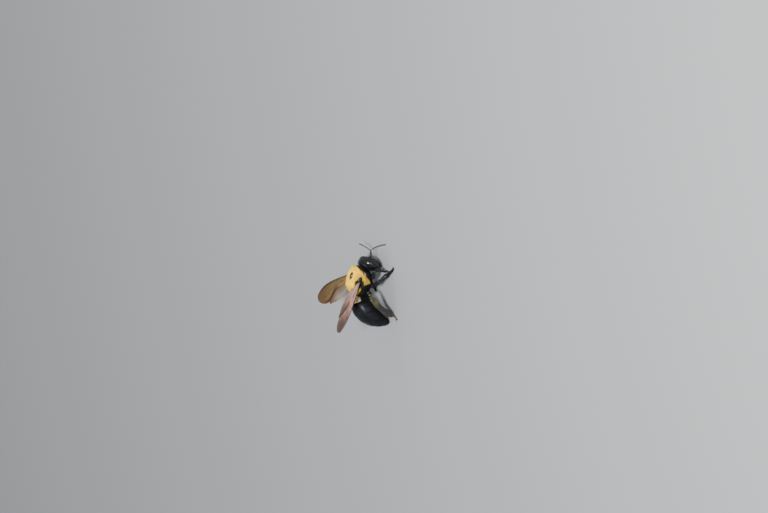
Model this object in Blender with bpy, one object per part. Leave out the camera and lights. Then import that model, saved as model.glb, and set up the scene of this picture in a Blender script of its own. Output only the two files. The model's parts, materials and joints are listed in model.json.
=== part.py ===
"""Female eastern carpenter bee at life size, standing with its head low and its tail curled under.

Every local frame has +X to the bee's left, -Y to its front and +Z to its back. The solids give the
outline out to the tips of the coat. Blender 4.5: blender --background --python part.py
"""

import bisect
import math

import bmesh
import bpy
from mathutils import Euler, Matrix, Vector

MM = 0.001
GAP = 0.1  # clearance between neighbouring solids, as every length below in millimetres

# The stance, in degrees and millimetres above the floor.
THORAX_HEIGHT = 6.9
THORAX_PITCH = 21.0
THORAX_ROLL = 9.0
HEAD_PITCH = 11.0
ABDOMEN_TURN = 10.0

# The main parts, in the thorax's frame unless it says otherwise.
HEAD_PLACE = (0.0, -5.42, -1.00)
WAIST_PLACE = (0.0, 4.15, -0.75)
ABDOMEN_LENGTH = 13.0
ABDOMEN_FIRST_ANGLE = 22.0
ABDOMEN_LAST_ANGLE = 97.0
WING_ROOT = (3.35, -0.95, 1.55)
FOREWING_LENGTH = 16.5
HINDWING_LENGTH = 11.9
WING_HALF_THICKNESS = 0.25
WING_START = 1.2  # how far from its root the forewing starts
HINDWING_START = 1.5
WING_CROWDING = 1.3  # more than 1 puts more of a wing's sections near its tip
FOREWING_BOW = 0.30
HINDWING_BOW = 0.15
SLOT_SHARE = 0.45  # share of the forewing's length over which the thorax makes room for it
TEGULA_PLACE = (3.75, -1.15, 1.75)
TEGULA_RADII = (0.45, 0.75, 0.60)

# Body outlines: along, half-width, height above the axis, depth below it.
THORAX_OUTLINE = (
    (-4.25, 1.45, 2.45, 0.60),
    (-3.90, 2.45, 3.20, 1.30),
    (-3.00, 3.40, 3.80, 2.35),
    (-1.30, 4.10, 4.12, 3.35),
    (0.50, 4.25, 4.15, 3.60),
    (2.10, 3.95, 3.85, 3.30),
    (3.20, 3.30, 3.00, 2.85),
    (3.95, 2.45, 1.60, 2.35),
    (4.35, 1.45, 0.50, 1.70),
)
THORAX_KEEL = 0.22  # share by which the thorax narrows from its widest to its underside
THORAX_SQUARENESS = 2.2  # 2 is an ellipse, more is squarer
HEAD_SQUARENESS = 2.3
TAIL_SQUARENESS = 2.15
ABDOMEN_OUTLINE = (
    (0.000, 0.55, 0.55, 0.50),
    (0.045, 1.60, 1.70, 1.05),
    (0.110, 3.10, 2.80, 1.80),
    (0.220, 4.00, 3.35, 2.50),
    (0.420, 4.35, 3.35, 2.85),
    (0.620, 4.10, 2.75, 2.75),
    (0.800, 3.20, 1.85, 2.15),
    (0.920, 1.95, 1.05, 1.30),
    (1.000, 0.50, 0.32, 0.40),
)
ABDOMEN_CUTS = (0.0, 0.17, 0.36, 0.53, 0.69, 0.84, 1.0)
RING_TAPER = 0.035
# The head's outline runs up the face: height, half-width, depth before the axis, depth behind it.
HEAD_OUTLINE = (
    (-2.95, 1.25, 1.25, 0.25),
    (-2.60, 1.90, 1.60, 0.85),
    (-1.60, 2.75, 1.95, 1.45),
    (-0.20, 3.15, 2.00, 1.70),
    (1.20, 3.00, 1.72, 1.75),
    (2.20, 2.30, 1.12, 1.50),
    (2.80, 1.25, 0.50, 0.95),
)
EYE_PLACE = (2.72, -0.45, 0.15)
EYE_RADII = (0.78, 0.98, 2.00)
EYE_LEAN = (0.0, -9.0, 0.0)

# The forewing's edges: share of its length, leading edge, trailing edge.
FOREWING_EDGES = (
    (0.00, 0.26, -0.26),
    (0.10, 0.44, -0.60),
    (0.30, 0.70, -1.45),
    (0.50, 0.84, -2.15),
    (0.59, 0.83, -3.20),
    (0.66, 0.80, -4.30),
    (0.73, 0.64, -4.90),
    (0.80, 0.35, -4.85),
    (0.88, -0.25, -4.50),
    (0.95, -0.95, -3.80),
    (0.987, -1.50, -3.10),
    (1.00, -1.95, -2.55),
)
# The hindwing hooks onto the forewing's trailing edge: share of its length, distance from it, width.
HINDWING_EDGES = (
    (0.00, 0.00, 0.55),
    (0.12, 0.00, 1.40),
    (0.30, 0.00, 2.50),
    (0.50, 0.00, 3.30),
    (0.70, 0.00, 3.20),
    (0.80, 0.00, 2.35),
    (0.90, 0.00, 1.20),
    (1.00, 0.05, 0.45),
)
# Sweep from straight back, lift and twist of each pair of wings, in degrees.
WING_SETS = {
    "left": {"sweep": 54.0, "lift": 15.5, "twist": -35.0},
    "right": {"sweep": 16.8, "lift": 10.5, "twist": 4.0},
}

# Leg joints: hip and trochanter in the thorax's frame, the rest above the floor's frame.
LEGS = {
    "fore_right": {
        "hip": (-1.05, -2.10, -1.60),
        "trochanter": (-1.95, -2.20, -2.95),
        "knee": (-4.35, -3.60, 4.75),
        "ankle": (-4.70, -3.30, 2.75),
        "heel": (-4.95, -2.60, 1.00),
        "toe": (-5.60, -1.75, 0.20),
    },
    "mid_right": {
        "hip": (-1.20, 0.10, -2.20),
        "trochanter": (-1.95, 0.55, -3.40),
        "knee": (-5.20, -0.35, 3.55),
        "ankle": (-6.24, -2.00, 1.45),
        "heel": (-7.45, -3.25, 0.55),
        "toe": (-8.34, -4.31, 0.20),
    },
    "hind_right": {
        "hip": (-1.25, 2.35, -1.90),
        "trochanter": (-2.05, 2.80, -2.95),
        "knee": (-5.00, 2.95, 7.00),
        "ankle": (-5.75, 6.95, 4.75),
        "heel": (-6.50, 10.00, 1.40),
        "toe": (-7.70, 11.60, 0.20),
    },
    "fore_left": {
        "hip": (1.05, -2.10, -1.60),
        "trochanter": (1.95, -2.20, -2.95),
        "knee": (4.60, -1.80, 3.50),
        "ankle": (5.00, -3.20, 1.15),
        "heel": (4.85, -4.60, 0.45),
        "toe": (4.75, -6.10, 0.20),
    },
    "mid_left": {
        "hip": (1.20, 0.10, -2.20),
        "trochanter": (1.95, 0.55, -3.40),
        "knee": (4.95, 0.95, 4.40),
        "ankle": (5.30, 2.30, 1.30),
        "heel": (4.70, 3.95, 0.50),
        "toe": (3.85, 5.45, 0.20),
    },
    "hind_left": {
        "hip": (1.25, 2.35, -1.90),
        "trochanter": (2.05, 2.80, -2.95),
        "knee": (5.10, 3.40, 6.20),
        "ankle": (6.60, 6.20, 3.10),
        "heel": (7.80, 8.10, 0.95),
        "toe": (8.90, 9.90, 0.20),
    },
}
LIMB_DOME = 0.06
BODY_DOME = 0.15
BODY_SIDES = 24
HEAD_SIDES = 22
HOLLOW_SIDES = 14
TAIL_SIDES = 22
ELBOW_TRIM = 0.42
SIDEWAYS = (1, 0, 0)
# How far a segment's start moves along when its limb bends at a right angle there.
HIP_KNOB = 0.50
KNOB = 0.36
BALL_LENGTH = 0.95  # the last stretch of a foot, which lies along the floor
# Radii along each segment: share of its length, half-width, half-depth.
COXA_RADII = ((0.0, 0.62, 0.62), (0.35, 0.80, 0.75), (0.8, 0.62, 0.60), (1.0, 0.40, 0.40))
FEMUR_RADII = ((0.0, 0.36, 0.34), (0.2, 0.54, 0.48), (0.55, 0.60, 0.52), (0.9, 0.48, 0.42), (1.0, 0.34, 0.32))
TIBIA_RADII = ((0.0, 0.34, 0.32), (0.15, 0.46, 0.40), (0.6, 0.58, 0.46), (0.9, 0.62, 0.48), (1.0, 0.42, 0.36))
BRUSH_RADII = ((0.0, 0.36, 0.32), (0.15, 0.60, 0.48), (0.6, 0.90, 0.62), (0.9, 0.95, 0.64), (1.0, 0.55, 0.42))
FOOT_RADII = ((0.0, 0.34, 0.30), (0.15, 0.42, 0.34), (0.7, 0.42, 0.32), (1.0, 0.30, 0.27))
HIND_FOOT_RADII = ((0.0, 0.44, 0.34), (0.15, 0.74, 0.44), (0.7, 0.70, 0.42), (1.0, 0.36, 0.30))
TOE_RADII = ((0.0, 0.25, 0.25), (0.3, 0.29, 0.27), (0.8, 0.31, 0.27), (1.0, 0.26, 0.25))

# Antennae, in the head's frame: socket, elbow, the bow of the whip and its tip.
ANTENNAE = {
    "left": {
        "socket": (0.85, -1.95, 0.15),
        "elbow": (1.58, -3.69, 0.62),
        "bow": (3.56, -3.86, 1.84),
        "tip": (5.64, -3.74, 2.85),
    },
    "right": {
        "socket": (-0.85, -1.95, 0.15),
        "elbow": (-0.42, -3.93, 1.34),
        "bow": (-1.93, -5.67, 0.87),
        "tip": (-3.73, -7.29, -0.53),
    },
}

FINISHES = {
    "pile": ((0.80, 0.52, 0.12), 0.95),
    "shell": ((0.012, 0.012, 0.016), 0.22),
    "hair": ((0.018, 0.016, 0.015), 0.70),
    "eye": ((0.020, 0.017, 0.018), 0.12),
    "wing": ((0.28, 0.16, 0.08), 0.30),
    "foot": ((0.07, 0.035, 0.02), 0.50),
}


def vec(values):
    return Vector(values) * MM


def cleared_scene():
    for thing in list(bpy.data.objects):
        bpy.data.objects.remove(thing)


def finish(name):
    """The material for one of FINISHES."""
    if name in bpy.data.materials:
        return bpy.data.materials[name]
    colour, roughness = FINISHES[name]
    made = bpy.data.materials.new(name)
    made.use_nodes = True
    shader = made.node_tree.nodes["Principled BSDF"]
    shader.inputs["Base Color"].default_value = (*colour, 1.0)
    shader.inputs["Roughness"].default_value = roughness
    shader.inputs["Metallic"].default_value = 0.0
    return made


def frame_empty(name, parent=None, place=(0.0, 0.0, 0.0), turn=(0.0, 0.0, 0.0)):
    """An empty that carries the parts modelled in one frame."""
    empty = bpy.data.objects.new(name, None)
    bpy.context.scene.collection.objects.link(empty)
    empty.parent = parent
    empty.location = vec(place)
    empty.rotation_euler = Euler([math.radians(a) for a in turn], "YXZ")
    return empty


def placed(name, mesh, parent, finish_name, place=(0.0, 0.0, 0.0)):
    """One sub-part, with its finish, in its parent's frame."""
    part = bpy.data.objects.new(name, mesh)
    bpy.context.scene.collection.objects.link(part)
    part.parent = parent
    part.location = vec(place)
    mesh.materials.append(finish(finish_name))
    mesh.shade_smooth()
    mesh.set_sharp_from_angle(angle=math.radians(50))
    return part


def carve(part, name, mesh, parent, place=(0.0, 0.0, 0.0)):
    """Cuts a socket the shape of mesh out of part."""
    cutter = bpy.data.objects.new(name, mesh)
    bpy.context.scene.collection.objects.link(cutter)
    cutter.parent = parent
    cutter.location = vec(place)
    cutter.hide_render = True
    cutter.display_type = "WIRE"
    cut = part.modifiers.new(name, "BOOLEAN")
    cut.operation = "DIFFERENCE"
    cut.solver = "EXACT"
    cut.object = cutter


def along(stations, t):
    """Every column of the stations at t, on a smooth curve through them."""
    keys = [row[0] for row in stations]
    i = max(0, min(len(keys) - 2, bisect.bisect_right(keys, t) - 1))
    span = keys[i + 1] - keys[i]
    u = (t - keys[i]) / span
    before, after = max(i - 1, 0), min(i + 2, len(keys) - 1)
    values = []
    for column in range(1, len(stations[0])):
        a, b = stations[i][column], stations[i + 1][column]
        slope_a = (b - stations[before][column]) / (keys[i + 1] - keys[before]) * span
        slope_b = (stations[after][column] - a) / (keys[after] - keys[i]) * span
        cubic = 2 * a - 2 * b + slope_a + slope_b
        square = -3 * a + 3 * b - 2 * slope_a - slope_b
        values.append(((cubic * u + square) * u + slope_a) * u + a)
    return values


def rounded(width, above, below, sides, squareness=2.0, keel=0.0):
    """Points round a section that is rounder (2) or squarer (more), and narrows below by keel."""
    points = []
    for i in range(sides):
        c = math.cos(2 * math.pi * i / sides)
        s = math.sin(2 * math.pi * i / sides)
        x = width * math.copysign(abs(c) ** (2 / squareness), c) * (1 + keel * min(s, 0))
        z = (above if s > 0 else below) * math.copysign(abs(s) ** (2 / squareness), s)
        points.append((x, z))
    return points


def lofted(name, rings, domes=(0.0, 0.0), floor=None):
    """A closed mesh through rings of points in millimetres, each end domed, cut flat at the floor."""
    bm = bmesh.new()
    loops = [[bm.verts.new(vec(p)) for p in ring] for ring in rings]
    for near, far in zip(loops, loops[1:]):
        for i in range(len(near)):
            j = (i + 1) % len(near)
            bm.faces.new((near[i], near[j], far[j], far[i]))
    ends = [bm.faces.new(loop) for loop in (reversed(loops[0]), loops[-1])]
    bmesh.ops.recalc_face_normals(bm, faces=bm.faces)
    for end, dome in zip(ends, domes):
        bmesh.ops.poke(bm, faces=[end], offset=dome * MM)
    if floor is not None:
        everything = bm.verts[:] + bm.edges[:] + bm.faces[:]
        down = (0, 0, -1)
        bmesh.ops.bisect_plane(bm, geom=everything, plane_co=vec(floor), plane_no=down, clear_outer=True)
        bmesh.ops.holes_fill(bm, edges=[e for e in bm.edges if e.is_boundary])
    mesh = bpy.data.meshes.new(name)
    bm.to_mesh(mesh)
    bm.free()
    return mesh


def spaced(first, last, count):
    return [first + (last - first) * i / (count - 1) for i in range(count)]


def ellipsoid(name, radii, grow=0.0, turn=(0.0, 0.0, 0.0), segments=13, rings=8):
    bm = bmesh.new()
    bmesh.ops.create_uvsphere(bm, u_segments=segments, v_segments=rings, radius=MM)
    size = Matrix.Diagonal([r + grow for r in radii]).to_4x4()
    turned = Euler([math.radians(a) for a in turn]).to_matrix().to_4x4()
    bmesh.ops.transform(bm, matrix=turned @ size, verts=bm.verts)
    mesh = bpy.data.meshes.new(name)
    bm.to_mesh(mesh)
    bm.free()
    return mesh


def smooth_path(points, t):
    """The point at t, from 0 to 1, on a smooth curve through the points."""
    stations = [(i / (len(points) - 1), *p) for i, p in enumerate(points)]
    return Vector(along(stations, t))


def tube(name, points, radii, width_axis, sides=8, count=6, trim=0.0, grow=0.0, floor=None):
    """A limb along a path, wide along width_axis. trim shortens its start, grow makes a cutter."""
    length = sum((Vector(b) - Vector(a)).length for a, b in zip(points, points[1:]))
    first = (trim - grow) / length
    last = 1 + grow / length
    rings = []
    for t in spaced(first, last, count):
        centre = smooth_path(points, t)
        ahead = (smooth_path(points, t + 0.01) - smooth_path(points, t - 0.01)).normalized()
        wide = (Vector(width_axis) - ahead * ahead.dot(Vector(width_axis))).normalized()
        deep = ahead.cross(wide)
        half_width, half_depth = along(radii, (t - first) / (last - first))
        section = rounded(half_width + grow, half_depth + grow, half_depth + grow, sides)
        rings.append([centre + wide * x + deep * z for x, z in section])
    return lofted(name, rings, (LIMB_DOME, LIMB_DOME), floor)


def thorax(frame):
    rings = []
    for y in spaced(THORAX_OUTLINE[0][0], THORAX_OUTLINE[-1][0], 13):
        width, above, below = along(THORAX_OUTLINE, y)
        section = rounded(width, above, below, BODY_SIDES, THORAX_SQUARENESS, THORAX_KEEL)
        rings.append([(x, y, z) for x, z in section])
    return placed("thorax", lofted("thorax", rings, (BODY_DOME, BODY_DOME)), frame, "pile")


def head_mesh(name, sides, grow=0.0):
    rings = []
    for z in spaced(HEAD_OUTLINE[0][0] - grow, HEAD_OUTLINE[-1][0] + grow, 11):
        width, before, behind = along(HEAD_OUTLINE, z)
        section = rounded(width + grow, before + grow, behind + grow, sides, HEAD_SQUARENESS)
        rings.append([(x, -y, z) for x, y in section])
    return lofted(name, rings, (BODY_DOME, BODY_DOME))


def head(frame, chest):
    """The head, whose back lies in a shallow hollow of the thorax."""
    carve(chest, "nape_hollow", head_mesh("hollow", HOLLOW_SIDES, 2 * GAP), frame)
    return placed("head", head_mesh("head", HEAD_SIDES), frame, "shell")


def eyes(frame, skull):
    for side, sign in (("left", 1), ("right", -1)):
        place = (sign * EYE_PLACE[0], EYE_PLACE[1], EYE_PLACE[2])
        turn = [sign * a for a in EYE_LEAN]
        placed(f"eye_{side}", ellipsoid("eye", EYE_RADII, 0.0, turn), frame, "eye", place)
        carve(skull, f"eye_socket_{side}", ellipsoid("socket", EYE_RADII, GAP, turn), frame, place)


def mouthparts(frame, skull):
    """Crossed jaws, the lip between them and the folded tongue behind, which hangs from the chin."""
    jaw_radii = ((0.0, 0.42, 0.36), (0.4, 0.44, 0.32), (1.0, 0.26, 0.25))
    for side, sign in (("left", 1), ("right", -1)):
        path = [(sign * 1.55, -0.60, -2.50), (sign * 1.40, -0.80, -3.25), (sign * 0.42, -0.90, -3.70)]
        jaw = tube("mandible", path, jaw_radii, (0, 1, 0), count=6)
        placed(f"mandible_{side}", jaw, frame, "shell")
        carve(skull, f"jaw_socket_{side}", tube("socket", path, jaw_radii, (0, 1, 0), grow=GAP), frame)
    lip_path = [(0.0, -1.30, -2.60), (0.0, -1.60, -3.25)]
    lip_radii = ((0.0, 0.62, 0.26), (0.5, 0.66, 0.26), (1.0, 0.40, 0.25))
    placed("labrum", tube("labrum", lip_path, lip_radii, SIDEWAYS, count=4), frame, "shell")
    carve(skull, "lip_socket", tube("socket", lip_path, lip_radii, SIDEWAYS, count=4, grow=GAP), frame)
    tongue_path = [(0.0, -0.25, -2.95), (0.0, 0.60, -2.85), (0.0, 1.45, -2.25)]
    tongue_radii = ((0.0, 0.45, 0.30), (0.4, 0.50, 0.34), (1.0, 0.28, 0.26))
    placed("proboscis", tube("proboscis", tongue_path, tongue_radii, SIDEWAYS, count=7), frame, "shell")
    carve(skull, "chin_socket", tube("socket", tongue_path, tongue_radii, SIDEWAYS, count=7, grow=GAP), frame)


def antennae(frame, skull):
    scape_radii = ((0.0, 0.25, 0.25), (0.3, 0.25, 0.25), (1.0, 0.28, 0.28))
    whip_radii = ((0.0, 0.25, 0.25), (0.15, 0.25, 0.25), (0.6, 0.28, 0.28), (1.0, 0.25, 0.25))
    for side, joints in ANTENNAE.items():
        scape = tube("scape", [joints["socket"], joints["elbow"]], scape_radii, SIDEWAYS, 8, 4)
        placed(f"antenna_scape_{side}", scape, frame, "shell")
        socket = tube("socket", [joints["socket"], joints["elbow"]], scape_radii, SIDEWAYS, 8, 4, grow=GAP)
        carve(skull, f"antenna_socket_{side}", socket, frame)
        path = [joints["elbow"], joints["bow"], joints["tip"]]
        whip = tube("flagellum", path, whip_radii, (0, 0, 1), 8, 11, trim=ELBOW_TRIM)
        placed(f"antenna_flagellum_{side}", whip, frame, "shell")


def neck(thorax_frame, chest, skull):
    path = [(0.0, -3.55, -0.70), (0.0, -4.75, -1.05)]
    radii = ((0.0, 0.80, 0.70), (1.0, 0.75, 0.65))
    placed("neck", tube("neck", path, radii, SIDEWAYS, 12, 3), thorax_frame, "shell")
    for part, name in ((chest, "neck_socket_rear"), (skull, "neck_socket_front")):
        carve(part, name, tube("socket", path, radii, SIDEWAYS, 12, 3, grow=GAP), thorax_frame)


def abdomen_ring(t, ease=1.0, grow=0.0):
    """A section of the tail at the share t of its length, whose axis is an arc that bends down."""
    first, last = math.radians(ABDOMEN_FIRST_ANGLE), math.radians(ABDOMEN_LAST_ANGLE)
    radius = ABDOMEN_LENGTH / (last - first)
    angle = first + (last - first) * t
    forward = radius * (math.sin(angle) - math.sin(first))
    centre = Vector((0, forward, radius * (math.cos(angle) - math.cos(first))))
    upward = Vector((0, math.sin(angle), math.cos(angle)))
    width, above, below = along(ABDOMEN_OUTLINE, t)
    sizes = [size * ease + grow for size in (width, above, below)]
    section = rounded(*sizes, TAIL_SIDES, TAIL_SQUARENESS)
    return [centre + Vector((x, 0, 0)) + upward * z for x, z in section]


def abdomen(frame, chest):
    """Six rings that telescope: the front of each is a little narrower than the rim before it."""
    half_gap = GAP / ABDOMEN_LENGTH / 2
    for number, (start, end) in enumerate(zip(ABDOMEN_CUTS, ABDOMEN_CUTS[1:]), 1):
        first = start + (half_gap if number > 1 else 0)
        last = end - (half_gap if number < len(ABDOMEN_CUTS) - 1 else 0)
        count = 7 if number == 1 else 4
        rings = []
        for t in spaced(first, last, count):
            ease = 1 - RING_TAPER * (last - t) / (last - first) if number > 1 else 1.0
            rings.append(abdomen_ring(t, ease))
        dome = BODY_DOME if number == len(ABDOMEN_CUTS) - 1 else 0.0
        ring = lofted(f"abdomen_{number}", rings, (0.0, dome))
        placed(f"abdomen_{number}", ring, frame, "shell")
    rings = [abdomen_ring(t, 1.0, GAP) for t in spaced(-GAP / ABDOMEN_LENGTH, ABDOMEN_CUTS[1], 8)]
    carve(chest, "waist_socket", lofted("socket", rings), frame)


def wing_matrix(side):
    """A wing's frame: +X along it, +Y to its leading edge, with its root at the origin."""
    setting = WING_SETS[side]
    sign = 1 if side == "left" else -1
    sweep, lift = math.radians(setting["sweep"]), math.radians(setting["lift"])
    out = Vector((sign * math.sin(sweep) * math.cos(lift), math.cos(sweep) * math.cos(lift), math.sin(lift)))
    lead = Vector((sign, 0, 0))
    lead = (lead - out * out.dot(lead)).normalized()
    up = out.cross(lead) * (1 if out.cross(lead).z > 0 else -1)
    turned = Matrix.Rotation(math.radians(setting["twist"] * sign), 3, out)
    matrix = Matrix((out, turned @ lead, turned @ up)).transposed().to_4x4()
    matrix.translation = Vector((sign * WING_ROOT[0], WING_ROOT[1], WING_ROOT[2]))
    return matrix


def forewing_edges(x):
    return along(FOREWING_EDGES, x / FOREWING_LENGTH)


def hindwing_edges(x):
    distance, width = along(HINDWING_EDGES, x / HINDWING_LENGTH)
    lead = forewing_edges(x)[1] - GAP - distance
    return lead, lead - width


def whole_edges(x):
    return forewing_edges(x)[0], hindwing_edges(x)[1]


def wing_mesh(name, matrix, edges, first, last, bow, grow=0.0):
    """A cambered blade between the edges, from first to last along the wing."""
    across = 5
    rings = []
    for t in spaced(0, 1, 13):
        x = last - (last - first + grow) * (1 - t) ** WING_CROWDING
        lead, trail = edges(x)
        lead, trail = lead + grow, trail - grow
        camber = bow * math.sin(math.pi * (x - first) / (last - first) * 0.9)
        ring = []
        for top, shares in ((1, spaced(0, 1, across)), (-1, spaced(1, 0, across))):
            for share in shares:
                y = lead + (trail - lead) * share
                z = camber * math.sin(math.pi * share) + top * (WING_HALF_THICKNESS + grow)
                ring.append(matrix @ Vector((x, y, z)))
        rings.append(ring)
    return lofted(name, rings)


def wings(frame, chest):
    for side, sign in (("left", 1), ("right", -1)):
        place = (sign * TEGULA_PLACE[0], TEGULA_PLACE[1], TEGULA_PLACE[2])
        tegula = ellipsoid("tegula", TEGULA_RADII, segments=11, rings=6)
        placed(f"tegula_{side}", tegula, frame, "shell", place)
        socket = ellipsoid("socket", TEGULA_RADII, GAP, segments=11, rings=6)
        carve(chest, f"tegula_socket_{side}", socket, frame, place)
        matrix = wing_matrix(side)
        fore = wing_mesh("fore", matrix, forewing_edges, WING_START, FOREWING_LENGTH, FOREWING_BOW)
        placed(f"forewing_{side}", fore, frame, "wing")
        hind = wing_mesh("hind", matrix, hindwing_edges, HINDWING_START, HINDWING_LENGTH, HINDWING_BOW)
        placed(f"hindwing_{side}", hind, frame, "wing")
        reach = SLOT_SHARE * FOREWING_LENGTH
        slot = wing_mesh("slot", matrix, whole_edges, WING_START, reach, HINDWING_BOW, 2 * GAP)
        carve(chest, f"wing_slot_{side}", slot, frame)


def joint_trim(before, joint, after, knob=KNOB):
    """How far past a joint the next segment starts: further where the limb bends more."""
    bend = (joint - before).angle(after - joint)
    return 2 * LIMB_DOME + GAP + knob * (1 - math.cos(bend))


def leg(pair, joints, thorax_frame, bee_frame, chest):
    hip, trochanter = Vector(joints["hip"]), Vector(joints["trochanter"])
    to_floor = bee_frame.matrix_world.inverted() @ thorax_frame.matrix_world
    start = (to_floor @ (trochanter * MM)) / MM
    knee, ankle, heel, toe = (Vector(joints[name]) for name in ("knee", "ankle", "heel", "toe"))
    hinge = (knee - start).cross(ankle - knee).normalized()
    wide = (ankle - knee).cross(hinge).normalized()
    hind = pair.startswith("hind")
    coxa = tube("coxa", [hip, trochanter], COXA_RADII, SIDEWAYS, count=5)
    placed(f"leg_{pair}_coxa", coxa, thorax_frame, "hair")
    socket = tube("socket", [hip, trochanter], COXA_RADII, SIDEWAYS, count=5, grow=GAP)
    carve(chest, f"hip_socket_{pair}", socket, thorax_frame)
    path = [(to_floor @ (hip * MM)) / MM, start, knee, ankle, heel, toe]
    segments = (
        ("femur", 1, FEMUR_RADII, hinge, "shell", HIP_KNOB),
        ("tibia", 2, BRUSH_RADII if hind else TIBIA_RADII, wide, "hair", KNOB),
        ("basitarsus", 3, HIND_FOOT_RADII if hind else FOOT_RADII, wide, "hair", KNOB),
    )
    for name, i, radii, width_axis, look, knob in segments:
        ends = [Vector(), path[i + 1] - path[i]]
        trim = joint_trim(path[i - 1], path[i], path[i + 1], knob)
        placed(f"leg_{pair}_{name}", tube(name, ends, radii, width_axis, trim=trim), bee_frame, look, path[i])
    level = Vector((heel.x - toe.x, heel.y - toe.y, 0)).normalized() * BALL_LENGTH
    sole = [Vector((0, 0, 0)), toe + level - heel, toe - heel]
    trim = joint_trim(ankle, heel, toe)
    floor = (0, 0, -heel.z)
    foot = tube("tarsus", sole, TOE_RADII, (0, 0, 1), 8, 7, trim, floor=floor)
    placed(f"leg_{pair}_tarsus", foot, bee_frame, "foot", heel)


def centred(bee_frame):
    """Moves the bee so that the middle of its footprint is the origin. Its feet stay on the floor."""
    bpy.context.view_layer.update()
    graph = bpy.context.evaluated_depsgraph_get()
    corners = []
    for part in bpy.data.objects:
        if part.type == "MESH" and not part.hide_render:
            shown = part.evaluated_get(graph)
            corners += [shown.matrix_world @ v.co for v in shown.data.vertices]
    for axis in (0, 1):
        values = [c[axis] for c in corners]
        bee_frame.location[axis] -= (min(values) + max(values)) / 2


def bee():
    cleared_scene()
    bee_frame = frame_empty("bee_frame")
    thorax_turn = (THORAX_PITCH, THORAX_ROLL, 0.0)
    thorax_frame = frame_empty("thorax_frame", bee_frame, (0, 0, THORAX_HEIGHT), thorax_turn)
    head_frame = frame_empty("head_frame", thorax_frame, HEAD_PLACE, (HEAD_PITCH, 0.0, 0.0))
    abdomen_frame = frame_empty("abdomen_frame", thorax_frame, WAIST_PLACE, (0.0, 0.0, ABDOMEN_TURN))
    bpy.context.view_layer.update()
    chest = thorax(thorax_frame)
    skull = head(head_frame, chest)
    eyes(head_frame, skull)
    mouthparts(head_frame, skull)
    antennae(head_frame, skull)
    neck(thorax_frame, chest, skull)
    abdomen(abdomen_frame, chest)
    wings(thorax_frame, chest)
    for pair, joints in LEGS.items():
        leg(pair, joints, thorax_frame, bee_frame, chest)
    centred(bee_frame)


bee()
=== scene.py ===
"""The looks of a life-size carpenter bee: shell, skin, pile, wings and leg hair on a still frame."""

import json
import math

import bmesh
import bpy
import numpy as np
from bpy.props import FloatProperty, FloatVectorProperty, PointerProperty
from mathutils import Matrix, Vector

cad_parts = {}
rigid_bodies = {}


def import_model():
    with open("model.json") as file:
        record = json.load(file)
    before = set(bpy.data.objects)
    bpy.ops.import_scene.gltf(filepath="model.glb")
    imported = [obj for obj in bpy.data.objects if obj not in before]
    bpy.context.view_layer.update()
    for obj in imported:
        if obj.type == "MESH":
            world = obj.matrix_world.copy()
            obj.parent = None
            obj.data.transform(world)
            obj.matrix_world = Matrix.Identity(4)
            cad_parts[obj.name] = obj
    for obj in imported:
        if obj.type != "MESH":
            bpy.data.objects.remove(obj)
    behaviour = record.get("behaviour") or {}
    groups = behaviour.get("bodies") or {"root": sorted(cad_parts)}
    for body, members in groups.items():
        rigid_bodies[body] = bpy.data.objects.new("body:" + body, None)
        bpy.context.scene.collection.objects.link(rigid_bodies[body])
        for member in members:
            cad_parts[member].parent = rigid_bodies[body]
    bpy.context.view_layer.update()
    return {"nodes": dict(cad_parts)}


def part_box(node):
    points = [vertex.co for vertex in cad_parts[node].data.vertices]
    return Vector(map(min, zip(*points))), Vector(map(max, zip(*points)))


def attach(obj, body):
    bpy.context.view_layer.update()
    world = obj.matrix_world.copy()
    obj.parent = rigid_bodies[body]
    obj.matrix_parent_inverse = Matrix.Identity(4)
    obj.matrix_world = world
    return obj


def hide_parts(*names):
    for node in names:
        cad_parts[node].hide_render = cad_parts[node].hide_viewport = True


bl_info = {
    "name": "Carpenter Bee",
    "version": (1, 0, 0),
    "blender": (4, 5, 0),
    "location": "View3D > Sidebar > Bee",
    "description": "Dresses a still carpenter bee with shell, pile, wings and leg hair",
    "category": "Object",
}

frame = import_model()

MM = 0.001
SIDES = {"left": 1, "right": -1}
PAIRS = [f"{pair}_{side}" for pair in ("fore", "mid", "hind") for side in SIDES]

# Places in the thorax's frame and in the head's, in millimetres: +X left, -Y ahead, +Z up.
TEGULA_MIDDLE = (0.0, -1.15, 1.75)
EYE_MIDDLE = (0.0, -0.45, 0.15)
WING_ROOT = (3.35, -0.95, 1.55)
WAIST = (0.0, 4.15, -0.75)
FEELER_SOCKET = (0.85, -1.95, 0.15)


# ---------------- settings


def number(name, description, value, **kind):
    return FloatProperty(name=name, description=description, default=value, **kind)


def length(name, description, millimetres):
    return number(name, description, millimetres * MM, unit="LENGTH", precision=6)


def angle(name, description, degrees):
    return number(name, description, math.radians(degrees), unit="ROTATION")


def colour(name, description, *value):
    return FloatVectorProperty(name=name, description=description, subtype="COLOR", size=3, default=value)


class BeeStance(bpy.types.PropertyGroup):
    """How the trunk, head and tail are held."""

    pitch: angle("Pitch", "Trunk leans forward", 21)
    roll: angle("Roll", "Trunk leans to its right", 9)
    nod: angle("Nod", "Head below the trunk", 11)
    tail_turn: angle("Tail turn", "Tail to the right", 10)
    tail_first: angle("Tail start", "Slope of the tail at the waist", 22)
    tail_last: angle("Tail end", "Slope of the tail at its tip", 97)
    tail_length: length("Tail length", "Along its axis", 13.0)


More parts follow.
